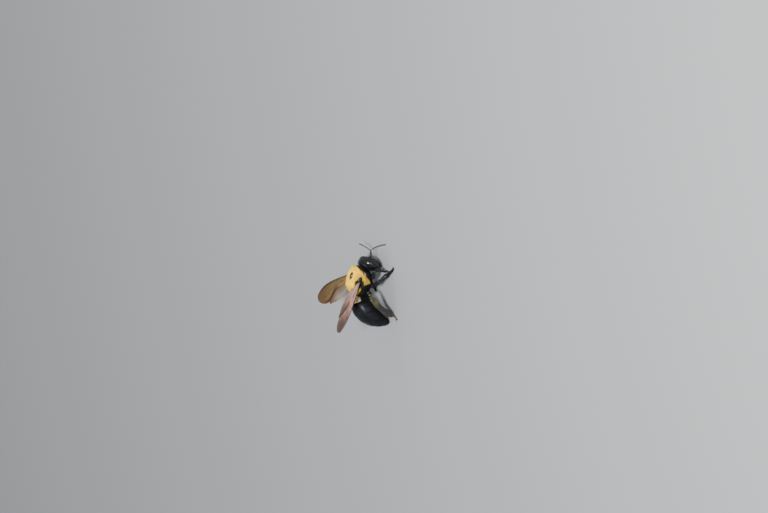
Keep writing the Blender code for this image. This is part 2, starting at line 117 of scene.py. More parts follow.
class BeeCoat(bpy.types.PropertyGroup):
    """Length, thickness and colour of the pile."""

    depth: length("Pile depth", "From the skin to the tips", 0.95)
    width: length("Hair width", "Across one tuft at its root", 0.045)
    density: number("Density", "Tufts per square millimetre", 560.0)
    gold_root: colour("Gold root", "Pile beside the skin", 0.74, 0.36, 0.010)
    gold_tip: colour("Gold tip", "Ends of the pile", 1.0, 0.665, 0.024)
    black: colour("Black hair", "Hair of head, tail and legs", 0.0065, 0.0062, 0.0065)
    # This colour also serves as the painted shade of the gold pile's tips.
    olive: colour("Dusted hair", "Brush hair with pollen", 0.30, 0.25, 0.05)


class BeeShell(bpy.types.PropertyGroup):
    """Colours of the hard parts."""

    black: colour("Shell", "Black chitin", 0.0036, 0.0038, 0.0045)
    brown: colour("Feet", "Red-brown end joints", 0.075, 0.027, 0.012)
    eye: colour("Eye", "Facets of the eye", 0.0016, 0.0015, 0.0019)


class BeeWings(bpy.types.PropertyGroup):
    """Membrane and veins."""

    amber: colour("Amber", "Left membrane", 0.088, 0.058, 0.0165)
    # The right membrane's mauve is painted reflection; the left one shows the membrane's own amber.
    mauve: colour("Mauve", "Right membrane", 0.31, 0.165, 0.12)
    vein: colour("Vein", "Veins and leading edge", 0.020, 0.0085, 0.0035)
    thickness: length("Membrane", "Thickness of the membrane", 0.03)
    alpha: number("Opacity", "Opacity of one side of the membrane", 0.88, subtype="FACTOR")


class BeeStage(bpy.types.PropertyGroup):
    """Floor, lamps and camera."""

    floor: colour("Floor", "Floor colour", 0.196, 0.197, 0.1995)
    key: number("Key lamp", "Power of the main lamp", 12.0, unit="POWER")
    fill: number("Fill", "Strength of the light all round", 0.75)
    distance: length("Distance", "Camera to bee", 1229.7)
    lens: number("Lens", "Focal length in millimetres", 200.02)


# ---------------- frames and arrays


def unit(rows):
    """Rows of vectors at length one."""
    rows = np.asarray(rows, float)
    return rows / np.maximum(np.linalg.norm(rows, axis=-1, keepdims=True), 1e-12)


def local(matrix, points):
    """Points of the bee's frame in millimetres of another frame."""
    inverse = np.array(matrix.inverted())
    return (np.asarray(points) @ inverse[:3, :3].T + inverse[:3, 3]) / MM


def placed(matrix, points):
    """Points in millimetres of another frame, in the bee's frame."""
    m = np.array(matrix)
    return (np.asarray(points, float) * MM) @ m[:3, :3].T + m[:3, 3]


def turned_by(matrix, rows):
    """Directions of another frame, in the bee's frame."""
    return np.asarray(rows, float) @ np.array(matrix)[:3, :3].T


def frame_at(turn, known, *nodes):
    """A frame with that turn, its own point known at the middle of the boxes of some nodes."""
    corners = [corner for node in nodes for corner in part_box(node)]
    matrix = turn.to_4x4()
    matrix.translation = sum(corners, Vector()) / len(corners) - turn @ (Vector(known) * MM)
    return matrix


def trunk_frame():
    s = bpy.context.scene.bee_stance
    turn = Matrix.Rotation(s.roll, 3, "Y") @ Matrix.Rotation(s.pitch, 3, "X")
    return frame_at(turn, TEGULA_MIDDLE, "tegula_left", "tegula_right")


def head_frame():
    turn = trunk_frame().to_3x3() @ Matrix.Rotation(bpy.context.scene.bee_stance.nod, 3, "X")
    return frame_at(turn, EYE_MIDDLE, "eye_left", "eye_right")


def tail_frame():
    turn = Matrix.Rotation(bpy.context.scene.bee_stance.tail_turn, 4, "Z")
    return trunk_frame() @ Matrix.Translation(Vector(WAIST) * MM) @ turn


def rows_of(mesh, field="co"):
    """Places of a mesh's points, or their normals."""
    rows = np.zeros(len(mesh.vertices) * 3, np.float32)
    mesh.vertices.foreach_get(field, rows)
    return rows.reshape(-1, 3).astype(float)


def set_rows(mesh, rows):
    mesh.vertices.foreach_set("co", np.asarray(rows, np.float32).ravel())
    mesh.update()


def swollen(thing, height):
    """Moves a skin out along its normals, by millimetres."""
    out = rows_of(thing.data, "normal") * (np.reshape(height, (-1, 1)) * MM)
    set_rows(thing.data, rows_of(thing.data) + out)
    return thing


def mark(mesh, name, rows):
    """Writes numbers, or rows of three, as an attribute of a mesh's points."""
    rows = np.asarray(rows, np.float32)
    kind, field = ("FLOAT_VECTOR", "vector") if rows.ndim == 2 else ("FLOAT", "value")
    mesh.attributes.new(name, kind, "POINT").data.foreach_set(field, rows.ravel())


def marked(mesh, name):
    """Reads rows of three back from a mesh's points, zero where it has none."""
    rows = np.zeros(len(mesh.vertices) * 3, np.float32)
    if name in mesh.attributes:
        mesh.attributes[name].data.foreach_get("vector", rows)
    return rows.reshape(-1, 3).astype(float)


def step(low, high, x):
    """Zero below low, one above high, smooth between."""
    t = np.clip((np.asarray(x, float) - low) / (high - low), 0, 1)
    return t * t * (3 - 2 * t)


def ridge(x, width):
    """A soft ridge of height one along x at zero."""
    return np.exp(-((x / width) ** 2))


def bump(x, y, rx, ry):
    """A soft round hill of height one."""
    return ridge(x, rx) * ridge(y, ry)


def ripple(points, scale, seed):
    """Smooth unevenness between about -1 and 1, the same at each run."""
    rng = np.random.default_rng(seed)
    total = np.zeros(len(points))
    for turn in range(5):
        total += np.sin(points @ rng.normal(size=3) * scale * (1 + 0.35 * turn) + rng.uniform(0, 6.28))
    return total / 3.2


# ---------------- modelling by hand


def deselect():
    for thing in bpy.context.view_layer.objects:
        thing.select_set(False)


def chosen(thing):
    deselect()
    thing.select_set(True)
    bpy.context.view_layer.objects.active = thing
    return thing


def modified(thing, kind, **settings):
    """Adds one modifier, sets it and applies it."""
    modifier = chosen(thing).modifiers.new(kind.lower(), kind)
    for name, value in settings.items():
        setattr(modifier, name, value)
    bpy.ops.object.modifier_apply(modifier=modifier.name)
    return thing


def settled(thing):
    """Puts an object's place, turn and size into its mesh."""
    chosen(thing)
    bpy.ops.object.transform_apply(location=True, rotation=True, scale=True)
    return thing


def smooth(thing):
    chosen(thing)
    bpy.ops.object.shade_smooth()
    return thing


def outward(thing):
    """Turns a closed piece's faces outwards."""
    if thing.mode == "OBJECT":
        chosen(thing)
        bpy.ops.object.mode_set(mode="EDIT")
    bpy.ops.mesh.select_all(action="SELECT")
    bpy.ops.mesh.normals_make_consistent(inside=False)
    bpy.ops.object.mode_set(mode="OBJECT")
    return thing


def in_order(mesh):
    """Sorts points and faces by their places, as extrusion leaves them in another order at each run."""
    rows = rows_of(mesh)
    order = np.lexsort(np.round(rows, 6).T)
    rank = np.argsort(order)
    faces = []
    for face in mesh.polygons:
        corners = rank[list(face.vertices)]
        faces.append(np.roll(corners, -corners.argmin()).tolist())
    mesh.clear_geometry()
    mesh.from_pydata(rows[order].tolist(), [], sorted(faces))


def new_object(name, mesh):
    thing = bpy.data.objects.new(name, mesh)
    bpy.context.scene.collection.objects.link(thing)
    return thing


def remove(*things):
    for thing in things:
        bpy.data.meshes.remove(thing.data)


def cast_of(*nodes):
    """A merged copy of some nodes of the frame, to mould a piece on."""
    shape = bmesh.new()
    for node in nodes:
        shape.from_mesh(frame["nodes"][node].data)
    bmesh.ops.remove_doubles(shape, verts=shape.verts, dist=0.002 * MM)
    mesh = bpy.data.meshes.new("cast")
    shape.to_mesh(mesh)
    shape.free()
    return new_object("cast", mesh)


def refined(node, levels=2, ease=2):
    """A node's own form, rounded off."""
    thing = modified(cast_of(node), "SUBSURF", levels=levels, render_levels=levels)
    return smooth(modified(thing, "SMOOTH", factor=0.5, iterations=ease))


def wrapped(nodes, centre, reach, ease):
    """A fine ball drawn in on to some nodes from all sides and eased, so that no seam is left."""
    deselect()
    bpy.ops.mesh.primitive_ico_sphere_add(subdivisions=7, radius=reach * MM, location=centre)
    skin = settled(bpy.context.object)
    mould = cast_of(*nodes)
    modified(skin, "SHRINKWRAP", target=mould, wrap_method="PROJECT", use_negative_direction=True,
             use_positive_direction=False, cull_face="OFF")
    remove(mould)
    return smooth(modified(skin, "SMOOTH", factor=0.5, iterations=ease))


# The shafts that limbs, feelers, jaws and veins are made from: sides, then rows of height and radius.
SHAFTS = {
    "jaw": (16, (0, 0.3), (0.04, 0.85), (0.2, 1.0), (0.5, 0.82), (0.8, 0.68), (0.95, 0.6), (1, 0.3)),
    "tooth": (10, (0, 1.0), (0.4, 0.8), (0.8, 0.4), (1, 0.1)),
    "scape": (16, (0, 0.6), (0.02, 1.15), (0.055, 1.2), (0.085, 0.62), (0.3, 0.72), (0.8, 0.95), (0.96, 1.0),
              (1, 0.55)),
    "bead": (14, (0, 0.55), (0.05, 0.80), (0.4, 0.96), (0.85, 1.0), (0.97, 0.84), (1, 0.6)),
    "tail_tip": (20, (0, 0.5), (0.1, 0.9), (0.4, 1.0), (0.8, 0.7), (1, 0.2)),
    "strand": (8, *((k / 14, 1.0 if k < 12 else 0.8) for k in range(15))),
    "coxa": (16, (0, 0.5), (0.06, 0.85), (0.3, 1.0), (0.75, 0.9), (0.95, 0.7), (1, 0.4)),
    "ring": (16, (0, 0.6), (0.1, 0.85), (0.5, 1.0), (0.9, 0.85), (1, 0.6)),
    "femur": (16, (0, 0.35), (0.03, 0.6), (0.12, 0.8), (0.35, 1.0), (0.6, 0.95), (0.85, 0.72), (0.94, 0.66),
              (0.985, 0.5), (1, 0.25)),
    "tibia": (16, (0, 0.3), (0.03, 0.52), (0.1, 0.56), (0.4, 0.74), (0.75, 0.93), (0.93, 1.0),
              (0.985, 0.85), (1, 0.45)),
    "basitarsus": (16, (0, 0.4), (0.03, 0.72), (0.15, 0.92), (0.5, 1.0), (0.8, 0.92), (0.95, 0.8),
                   (0.99, 0.6), (1, 0.4)),
    "joint": (14, (0, 0.38), (0.1, 0.5), (0.5, 0.72), (0.82, 1.0), (0.95, 0.9), (1, 0.5)),
    "end_joint": (14, (0, 0.35), (0.15, 0.45), (0.6, 0.75), (0.9, 1.0), (1, 0.6)),
    "hook": (10, (0, 1.0), (0.25, 0.92), (0.5, 0.72), (0.75, 0.45), (1, 0.08)),
}


def turned(name, levels=1):
    """A shaft one unit long on +Z, turned to its rows of height and radius."""
    deselect()
    sides, (height, radius), *rows = SHAFTS[name]
    bpy.ops.mesh.primitive_circle_add(vertices=sides, radius=radius, fill_type="NGON", location=(0, 0, 0))
    shaft = bpy.context.object
    shaft.name = name
    bpy.ops.object.mode_set(mode="EDIT")
    bpy.ops.mesh.select_all(action="SELECT")
    for next_height, next_radius in rows:
        bpy.ops.mesh.extrude_region_move(TRANSFORM_OT_translate={"value": (0, 0, next_height - height)})
        share = next_radius / radius
        bpy.ops.transform.resize(value=(share, share, 1), center_override=(0, 0, next_height))
        height, radius = next_height, next_radius
    in_order(outward(shaft).data)
    if levels:
        modified(shaft, "SUBSURF", levels=levels, render_levels=levels)
    return smooth(shaft)


class Line:
    """A smooth line in the bee's frame, read by its share of the way along."""

    def __init__(self, rows):
        self.rows = np.asarray(rows, float)
        steps = np.linalg.norm(np.diff(self.rows, axis=0), axis=1)
        self.reach = np.concatenate([[0], np.cumsum(steps)])
        self.length = self.reach[-1]

    @classmethod
    def through(cls, points, count):
        """A rounded line through a few points."""
        points = np.asarray(points, float)
        padded = np.vstack([2 * points[0] - points[1], points, 2 * points[-1] - points[-2]])
        rows = []
        for k in range(len(points) - 1):
            a, b, c, d = padded[k : k + 4]
            for t in np.linspace(0, 1, count, endpoint=k == len(points) - 2):
                rows.append(0.5 * (2 * b + (c - a) * t + (2 * a - 5 * b + 4 * c - d) * t**2
                                   + (3 * b - a - 3 * c + d) * t**3))
        return cls(rows)

    @classmethod
    def of(cls, node, near, bend=1):
        """The middle line of a long node, starting at its end near a point."""
        mould = cast_of(node)
        points = rows_of(mould.data)
        remove(mould)
        centre = points.mean(0)
        axes = np.linalg.svd(points - centre, full_matrices=False)[2]
        if np.dot(np.asarray(near) - centre, axes[0]) > 0:
            axes = axes * [[-1], [-1], [1]]
        rows = (points - centre) @ axes.T
        along = np.linspace(rows[:, 0].min(), rows[:, 0].max(), 33)
        sides = [np.polyval(np.polyfit(rows[:, 0], rows[:, k], bend), along) for k in (1, 2)]
        return cls(centre + np.stack([along, *sides], 1) @ axes)

    def at(self, share):
        """Places and directions at shares of the length, straight on beyond the ends."""
        share = np.asarray(share, float).reshape(-1)
        way = np.clip(share, 0, 1) * self.length
        here = np.stack([np.interp(way, self.reach, column) for column in self.rows.T], 1)
        middles = (self.reach[1:] + self.reach[:-1]) / 2
        slopes = np.diff(self.rows, axis=0)
        along = unit(np.stack([np.interp(way, middles, column) for column in slopes.T], 1))
        return here + along * ((share - np.clip(share, 0, 1)) * self.length)[:, None], along


STRIPS = 6  # a leg's unwrap has one strip for each of its parts


def laid(blank, line, thick, wide=1.0, up=(0, 0, 1), span=(0.0, 1.0), strip=0, bare=False):
    """A copy of a turned shaft laid along a line. It keeps the lie of its hair and its unwrap."""
    mesh = blank.data.copy()
    rows = rows_of(mesh)
    here, along = line.at(span[0] + (span[1] - span[0]) * rows[:, 2])
    side = unit(np.cross(np.asarray(up, float), along))
    thick = thick * MM
    set_rows(mesh, here + side * rows[:, :1] * thick * wide + np.cross(along, side) * rows[:, 1:2] * thick)
    mark(mesh, "lie", along)
    turn = (np.arctan2(rows[:, 1], rows[:, 0]) / (2 * math.pi) + 0.5 + strip) / STRIPS
    mark(mesh, "place", np.stack([turn, rows[:, 2], np.full(len(rows), float(bare))], 1))
    return new_object(blank.name, mesh)


def grid(rows, around):
    """A mesh over rows and columns of points: joined to itself both ways, or an open sheet."""
    count, width = rows.shape[:2]
    faces = []
    for r in range(count - (not around)):
        for c in range(width - (not around)):
            r2, c2 = (r + 1) % count, (c + 1) % width
            faces.append((r * width + c, r * width + c2, r2 * width + c2, r2 * width + c))
    mesh = bpy.data.meshes.new("grid")
    mesh.from_pydata(rows.reshape(-1, 3).tolist(), [], faces)
    return new_object("grid", mesh)


def piece(name, parts, finish, slot, *nodes):
    """Joins parts to one finished piece, with its body and the nodes that it stands for; the slot is not
    used.
    """
    thing = chosen(parts[0])
    for part in parts[1:]:
        part.select_set(True)
    if len(parts) > 1:
        bpy.ops.object.join()
    thing.name = name
    thing.data.name = name
    thing.data.materials.clear()
    thing.data.materials.append(finish_called(finish))
    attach(thing, "root")
    if nodes:
        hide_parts(*nodes)
    return thing


# ---------------- finishes


class Value:
    """A shader socket that adds up with numbers and other sockets."""

    def __init__(self, recipe, socket):
        self.recipe = recipe
        self.socket = socket

    def maths(self, operation, *inputs):
        return self.recipe.node("ShaderNodeMath", {"operation": operation}, dict(enumerate(inputs)))

    def __add__(self, other):
        return self.maths("ADD", self, other)

    def __sub__(self, other):
        return self.maths("SUBTRACT", self, other)

    def __rsub__(self, other):
        return self.maths("SUBTRACT", other, self)

    def __mul__(self, other):
        return self.maths("MULTIPLY", self, other)

    __radd__ = __add__
    __rmul__ = __mul__


class Recipe:
    """One finish: its material and the nodes that make it."""

    def __init__(self, name, **constants):
        self.material = bpy.data.materials.new(name)
        self.material.use_nodes = True
        self.tree = self.material.node_tree
        self.shader = next(n for n in self.tree.nodes if n.type == "BSDF_PRINCIPLED")
        self.object_place = self.node("ShaderNodeTexCoord", {}, {}, "Object")
        self.paint(**constants)

    def feed(self, socket, value):
        if isinstance(value, Value):
            self.tree.links.new(value.socket, socket)
        else:
            socket.default_value = (*value, 1.0) if socket.type == "RGBA" else value

    def node(self, kind, settings, inputs, output=0):
        """Adds a node: its settings first, then its sockets."""
        made = self.tree.nodes.new(kind)
        for name, value in settings.items():
            setattr(made, name, value)
        for key, value in inputs.items():
            self.feed(made.inputs[key], value)
        return Value(self, made.outputs[output])

    def attribute(self, name):
        return self.node("ShaderNodeAttribute", {"attribute_name": name}, {}, "Fac")

    def noise(self, scale, detail=3.0, roughness=0.5):
        sockets = {"Vector": self.object_place, "Scale": scale, "Detail": detail, "Roughness": roughness}
        return self.node("ShaderNodeTexNoise", {}, sockets)

    def cells(self, scale):
        sockets = {"Vector": self.object_place, "Scale": scale}
        return self.node("ShaderNodeTexVoronoi", {}, sockets, "Distance")

    def between(self, value, low, high, first=0.0, last=1.0):
        sockets = {"Value": value, "From Min": low, "From Max": high, "To Min": first, "To Max": last}
        return self.node("ShaderNodeMapRange", {}, sockets)

    def mix(self, share, first, second):
        return self.node("ShaderNodeMix", {"data_type": "RGBA"}, {0: share, 6: first, 7: second}, 2)

    def relief(self, height, millimetres):
        return self.node("ShaderNodeBump", {}, {"Height": height, "Distance": millimetres * MM})

    def paint(self, **inputs):
        for name, value in inputs.items():
            self.feed(self.shader.inputs[name.replace("_", " ")], value)


def scaled(value, k):
    return tuple(min(1.0, c * k) for c in value)


def chitin(name, base, gloss, pits, pit_depth, coat, shine):
    """Polished shell with fine pits."""
    recipe = Recipe(name, IOR=1.4, Coat_Roughness=0.08, Coat_IOR=1.35, Specular_Tint=(0.92, 0.96, 1.0),
                    Specular_IOR_Level=shine)
    pit = recipe.between(recipe.cells(pits), 0.12, 0.42)
    wave = recipe.noise(900.0, 4.0)
    recipe.paint(
        Base_Color=recipe.mix(recipe.between(wave, 0.35, 0.7), base, scaled(base, 1.9)),
        Roughness=recipe.between(wave, 0.3, 0.75, gloss, gloss + 0.14),
        Coat_Weight=coat,
        Normal=recipe.relief(pit * 0.8 + wave * 0.5, pit_depth),
    )


def eye_facets(name, base):
    """Glossy eye with very fine facets."""
    eye = Recipe(name, IOR=1.42, Specular_IOR_Level=0.4, Specular_Tint=(0.85, 0.92, 1.0),
                 Coat_Roughness=0.04)
    facet = eye.between(eye.cells(38000.0), 0.0, 0.55)
    drift = eye.noise(420.0, 2.0)
    eye.paint(
        Base_Color=eye.mix(eye.between(drift, 0.35, 0.7), base, scaled(base, 1.8)),
        Roughness=0.08,
        Coat_Weight=0.3,
        Normal=eye.relief(1 - facet, 0.0012),
    )


def trunk_hide(name, black, gold_root):
    """The skin under the pile, gold or black by its marking."""
    skin = Recipe(name, IOR=1.5, Coat_Roughness=0.15)
    gold = skin.attribute("gold")
    grain = skin.noise(5200.0, 4.0)
    under = skin.mix(skin.between(grain, 0.3, 0.7), scaled(gold_root, 0.55), scaled(gold_root, 0.95))
    skin.paint(
        Base_Color=skin.mix(gold, black, under),
        Roughness=skin.between(gold, 0.0, 1.0, 0.24, 0.75),
        Normal=skin.relief(grain, 0.01),
    )


def hair(name, root, tip, olive):
    """Hair from its root's colour to its tip's, darker tuft by tuft."""
    gold, brush = name == "pile_gold", name == "brush_hair"
    pile = Recipe(name, IOR=1.45, Specular_IOR_Level=0.4 if brush else 0.2,
                  Roughness=0.62 if gold else 0.46)
    tone = pile.attribute("tone")
    ends = pile.attribute("ends")
    share = pile.between(ends, 0.0, 0.9)
    if brush:
        share = ends * pile.between(tone, 0.35, 0.8) * pile.attribute("dust")
    # Painted shade: on the gold pile the dust attribute holds shade and darkens the tips towards olive.
    if gold:
        tip = pile.mix(pile.attribute("dust"), tip, scaled(olive, 1.15))
    full = pile.mix(share, root, tip)
    dark = pile.mix(tone, root, full)
    pile.paint(Base_Color=pile.mix(pile.between(tone, 0.0, 0.55, 0.55, 1.0), dark, full))


def membrane_film(name, film, edge, root, rim, pane, sheen, wings):
    """A wing's film: darker at its root, tip and border, clearer in its panes."""
    wing = Recipe(name, IOR=1.4, Specular_IOR_Level=0.4, Sheen_Weight=sheen, Sheen_Tint=(0.85, 0.55, 0.95),
                  Sheen_Roughness=0.35)
    border, reach, clear = (wing.attribute(mark_name) for mark_name in ("border", "reach", "clear"))
    cloud = wing.noise(520.0, 4.0, 0.6)
    inner = wing.mix(wing.between(cloud, 0.35, 0.72), scaled(film, 1.25), scaled(film, 0.8))
    inner = wing.mix(wing.between(reach, 0.10, 0.40), root, inner)
    blotch = wing.between(wing.noise(760.0, 2.0), 0.25, 0.50) * wing.attribute("blotch")
    inner = wing.mix(blotch, inner, wings.vein)
    inner = wing.mix(wing.between(reach + cloud * 0.3 - 0.15, 0.44, 0.82), inner, edge)
    inner = wing.mix(clear, inner, pane)
    wing.paint(
        Base_Color=wing.mix(border, inner, rim),
        Roughness=wing.between(cloud, 0.3, 0.7, 0.26, 0.4),
        Alpha=wing.between(border, 0.0, 1.0, wings.alpha, 0.99) - clear * 0.5,
        Normal=wing.relief(wing.noise(2600.0, 4.0) + cloud, 0.02),
    )


def vein_brown(name, base):
    vein = Recipe(name, IOR=1.45, Specular_IOR_Level=0.25, Roughness=0.35)
    vein.paint(Base_Color=vein.mix(vein.between(vein.noise(900.0), 0.35, 0.7), base, scaled(base, 2.0)))


def make_finishes():
    scene = bpy.context.scene
    shell, wings, coat = scene.bee_shell, scene.bee_wings, scene.bee_coat
    # Colour, gloss, pits to the metre and their depth in millimetres, clear coat, shine.
    for name, base, *rest in (
        ("shell_black", scaled(shell.black, 1.0), 0.11, 8000.0, 0.003, 0.12, 0.30),
        ("tail_black", scaled(shell.black, 1.2), 0.25, 7500.0, 0.002, 0.0, 0.08),
        # The first tail plate: rougher, and darker in colour as painted shade.
        ("tail_velvet", scaled(shell.black, 0.6), 0.42, 7500.0, 0.008, 0.0, 0.12),
        ("limb_black", scaled(shell.black, 1.8), 0.26, 14000.0, 0.006, 0.2, 0.5),
        ("foot_brown", scaled(shell.brown, 1.0), 0.32, 14000.0, 0.004, 0.2, 0.5),
        ("foot_dark", scaled(shell.brown, 0.15), 0.32, 14000.0, 0.004, 0.2, 0.5),
    ):
        chitin(name, base, *rest)
    eye_facets("eye_facets", shell.eye)
    trunk_hide("trunk_skin", shell.black, coat.gold_root)
    for name, root, tip in (
        ("pile_gold", coat.gold_root, coat.gold_tip),
        ("waist_tan", (0.90, 0.66, 0.28), (0.96, 0.85, 0.54)),
        ("hair_black", scaled(coat.black, 0.7), scaled(coat.black, 1.6)),
        ("brush_hair", scaled(coat.black, 6.0), coat.olive),
        ("foot_hair", scaled(shell.brown, 0.15), scaled(shell.brown, 0.6)),
    ):
        hair(name, root, tip, coat.olive)
    # Colours of the film, its tip, its root, its border and its clear panes, and the sheen.
    for name, *rest in (
        ("wing_amber", wings.amber, (0.050, 0.024, 0.006), (0.15, 0.078, 0.019), (0.022, 0.010, 0.0024),
         (0.155, 0.110, 0.070), 0.0),
        # Right wing: mauve film, pink panes, lavender root and lavender border are painted reflection and
        # painted highlight on a membrane like the left one.
        ("wing_mauve", wings.mauve, (0.040, 0.021, 0.011), (0.19, 0.155, 0.18), (0.055, 0.045, 0.060),
         (0.33, 0.20, 0.16), 0.05),
    ):
        membrane_film(name, *rest, wings)
    vein_brown("wing_vein", wings.vein)


def finish_called(name):
    """A finish by its name. The first call makes them all."""
    if name not in bpy.data.materials:
        make_finishes()
    return bpy.data.materials[name]


# ---------------- trunk

# Where the gold ends on the flanks: millimetres ahead of the trunk's middle, and height of the edge.
GOLD_EDGE = ((-4.4, 0.8), (-1.9, 0.75), (-1.15, 0.7), (-0.6, 0.5), (-0.15, 0.2), (0.1, -0.4), (0.4, -0.9),
             (0.84, -1.3), (1.62, -1.1), (2.24, 0.1), (2.96, 1.0), (3.5, 1.65), (3.9, 2.0), (4.3, 2.5))
# The black stripe under each wing's root, partly the black side and partly painted shadow of the wing: its
# start, ahead and up, and its run back and down.
STRIPE_START = (0.9, 1.25)
STRIPE_RUN = (2.1, 1.05)
# The bare polished spot on the back: middle and half-size.
BALD_MIDDLE = (-0.85, -1.15)
BALD_SIZE = (0.42, 0.95)
# The short-haired ground at and behind each wing's root, marked black, partly the bare root and partly
# painted shadow of the wing: middles and half-sizes.
HINGES = (((3.55, -0.75, 1.60), (1.2, 1.05, 0.62)), ((3.20, -0.05, 2.30), (0.9, 1.1, 0.50)))


def folded(rows):
    """Points of a frame, those on the right laid over to the left."""
    return np.column_stack([np.abs(rows[:, 0]), rows[:, 1:]])


def above_gold_edge(rows):
    return rows[:, 2] - np.interp(-rows[:, 1], *zip(*GOLD_EDGE))


def bald_distance(rows):
    return np.linalg.norm((rows[:, :2] - BALD_MIDDLE) / BALD_SIZE, axis=1)


def bald_share(rows):
    away = bald_distance(rows) + 0.05 * ripple(rows, 4.0, 8)
    return step(1.2, 0.85, away) * (rows[:, 2] > 1)


def hinge_share(rows):
    away = [np.linalg.norm((folded(rows) - spot) / size, axis=1) for spot, size in HINGES]
    return step(1.15, 0.75, np.minimum(*away))


def gold_share(rows):
    """How golden the trunk is at points of its frame: 1 in the gold pile, 0 in the black."""
    gold = step(-0.18, 0.18, above_gold_edge(rows) + 0.12 * ripple(rows, 2.0, 5))
    back = np.array(STRIPE_START) - np.stack([-rows[:, 1], rows[:, 2]], 1)
    along = np.clip(back @ STRIPE_RUN / np.dot(STRIPE_RUN, STRIPE_RUN), 0, 1)
    away = np.linalg.norm(back - along[:, None] * STRIPE_RUN, axis=1)
    # Black marking under and behind the wing roots: partly painted shadow of the wings.
    shadow_stripe = step(0.62, 0.40, away) * (np.abs(rows[:, 0]) > 2)
    return gold * (1 - shadow_stripe) * (1 - bald_share(rows)) * (1 - hinge_share(rows))


def pile_depth(rows):
    """How deep the pile is, in millimetres, at points of the trunk's frame."""
    deep = bpy.context.scene.bee_coat.depth / MM
    depth = deep * np.where(rows[:, 2] > 1, 0.25 + 0.75 * step(0.9, 1.8, bald_distance(rows)), 1.0)
    depth *= 1 - 0.55 * hinge_share(rows)
    black = 1 - step(-0.5, 0.3, above_gold_edge(rows))
    depth *= 1 - black * (0.45 + 0.50 * step(1.0, 2.2, -rows[:, 1]))
    return depth * step(-5.7, -3.0, rows[:, 1])


class BeeTrunk(bpy.types.Operator):
    """Wraps one skin round the trunk and neck, inside the solids by the depth of the pile"""

    bl_idname = "bee.trunk"
    bl_label = "Trunk skin"

    def execute(self, context):
        body = trunk_frame()
        skin = wrapped(("thorax", "neck"), body.translation, reach=9, ease=26)
        here = local(body, rows_of(skin.data))
        depth = pile_depth(here)
        depth += (0.12 - depth) * step(-4.3, -5.0, here[:, 1])
        modified(swollen(skin, -depth), "SMOOTH", factor=0.5, iterations=6)
        here = local(body, rows_of(skin.data))
        spot = step(1.65, 1.25, bald_distance(here)) * (here[:, 2] > 1)
        mark(skin.data, "gold", gold_share(here) * (1 - spot))
        piece("trunk_skin", [skin], "trunk_skin", "shell", "thorax", "neck")
        for side in SIDES:
            plate = refined(f"tegula_{side}", levels=3)
            piece(f"wing_plate_{side}", [plate], "shell_black", "shell", f"tegula_{side}")
        return {"FINISHED"}


# ---------------- head

# Half-widths of the face's shield and of the seam round it, at three heights.
SHIELD_HEIGHTS = (-2.7, -1.9, -0.75)
SHIELD = (1.45, 1.25, 0.62)
SHIELD_SEAM = (1.52, 1.32, 0.70)
SIMPLE_EYES = ((0.0, 1.95), (0.62, 2.28), (-0.62, 2.28))
SIMPLE_EYE_RADIUS = 0.19
SIMPLE_EYE_SUNK = 0.06
HEAD_HAIR_DEPTH = 0.05
EYE_SWELL = 0.085  # what rounding off takes from a large eye


def face_relief(here):
    """Heights of the face's plates, ridges and pits, in millimetres, over the head's frame."""
    x, y, z = here.T
    front = step(0.3, 1.0, -y)
    beyond = np.maximum(np.abs(x) - np.interp(z, SHIELD_HEIGHTS, SHIELD), np.abs(z + 1.72) - 0.98)
    seam = ridge(np.abs(x) - np.interp(z, SHIELD_HEIGHTS, SHIELD_SEAM), 0.06)
    lift = 0.10 * step(0.16, -0.02, beyond) - 0.06 * seam * step(-2.9, -2.6, z) * step(-0.6, -0.8, z)
    lift += 0.10 * bump(x, z + 0.30, 0.42, 0.42)
    lift += 0.09 * ridge(x, 0.07) * step(-0.2, 0.2, z) * step(1.9, 1.2, z)
    ring = np.hypot(np.abs(x) - FEELER_SOCKET[0], z - FEELER_SOCKET[2])
    lift += 0.07 * ridge(ring - 0.36, 0.08) - 0.14 * step(0.31, 0.20, ring)
    lift -= 0.05 * ridge(np.abs(x) - (2.05 - 0.08 * z), 0.10) * step(-2.0, -1.4, z)
    lift *= front
    for dot_x, dot_z in SIMPLE_EYES:
        lift -= 0.04 * ridge(np.hypot(x - dot_x, z - dot_z) - 0.21, 0.06) * step(0.0, 0.5, -y)
    return lift + 0.05 * bump(x, z - 2.35, 1.1, 0.35)


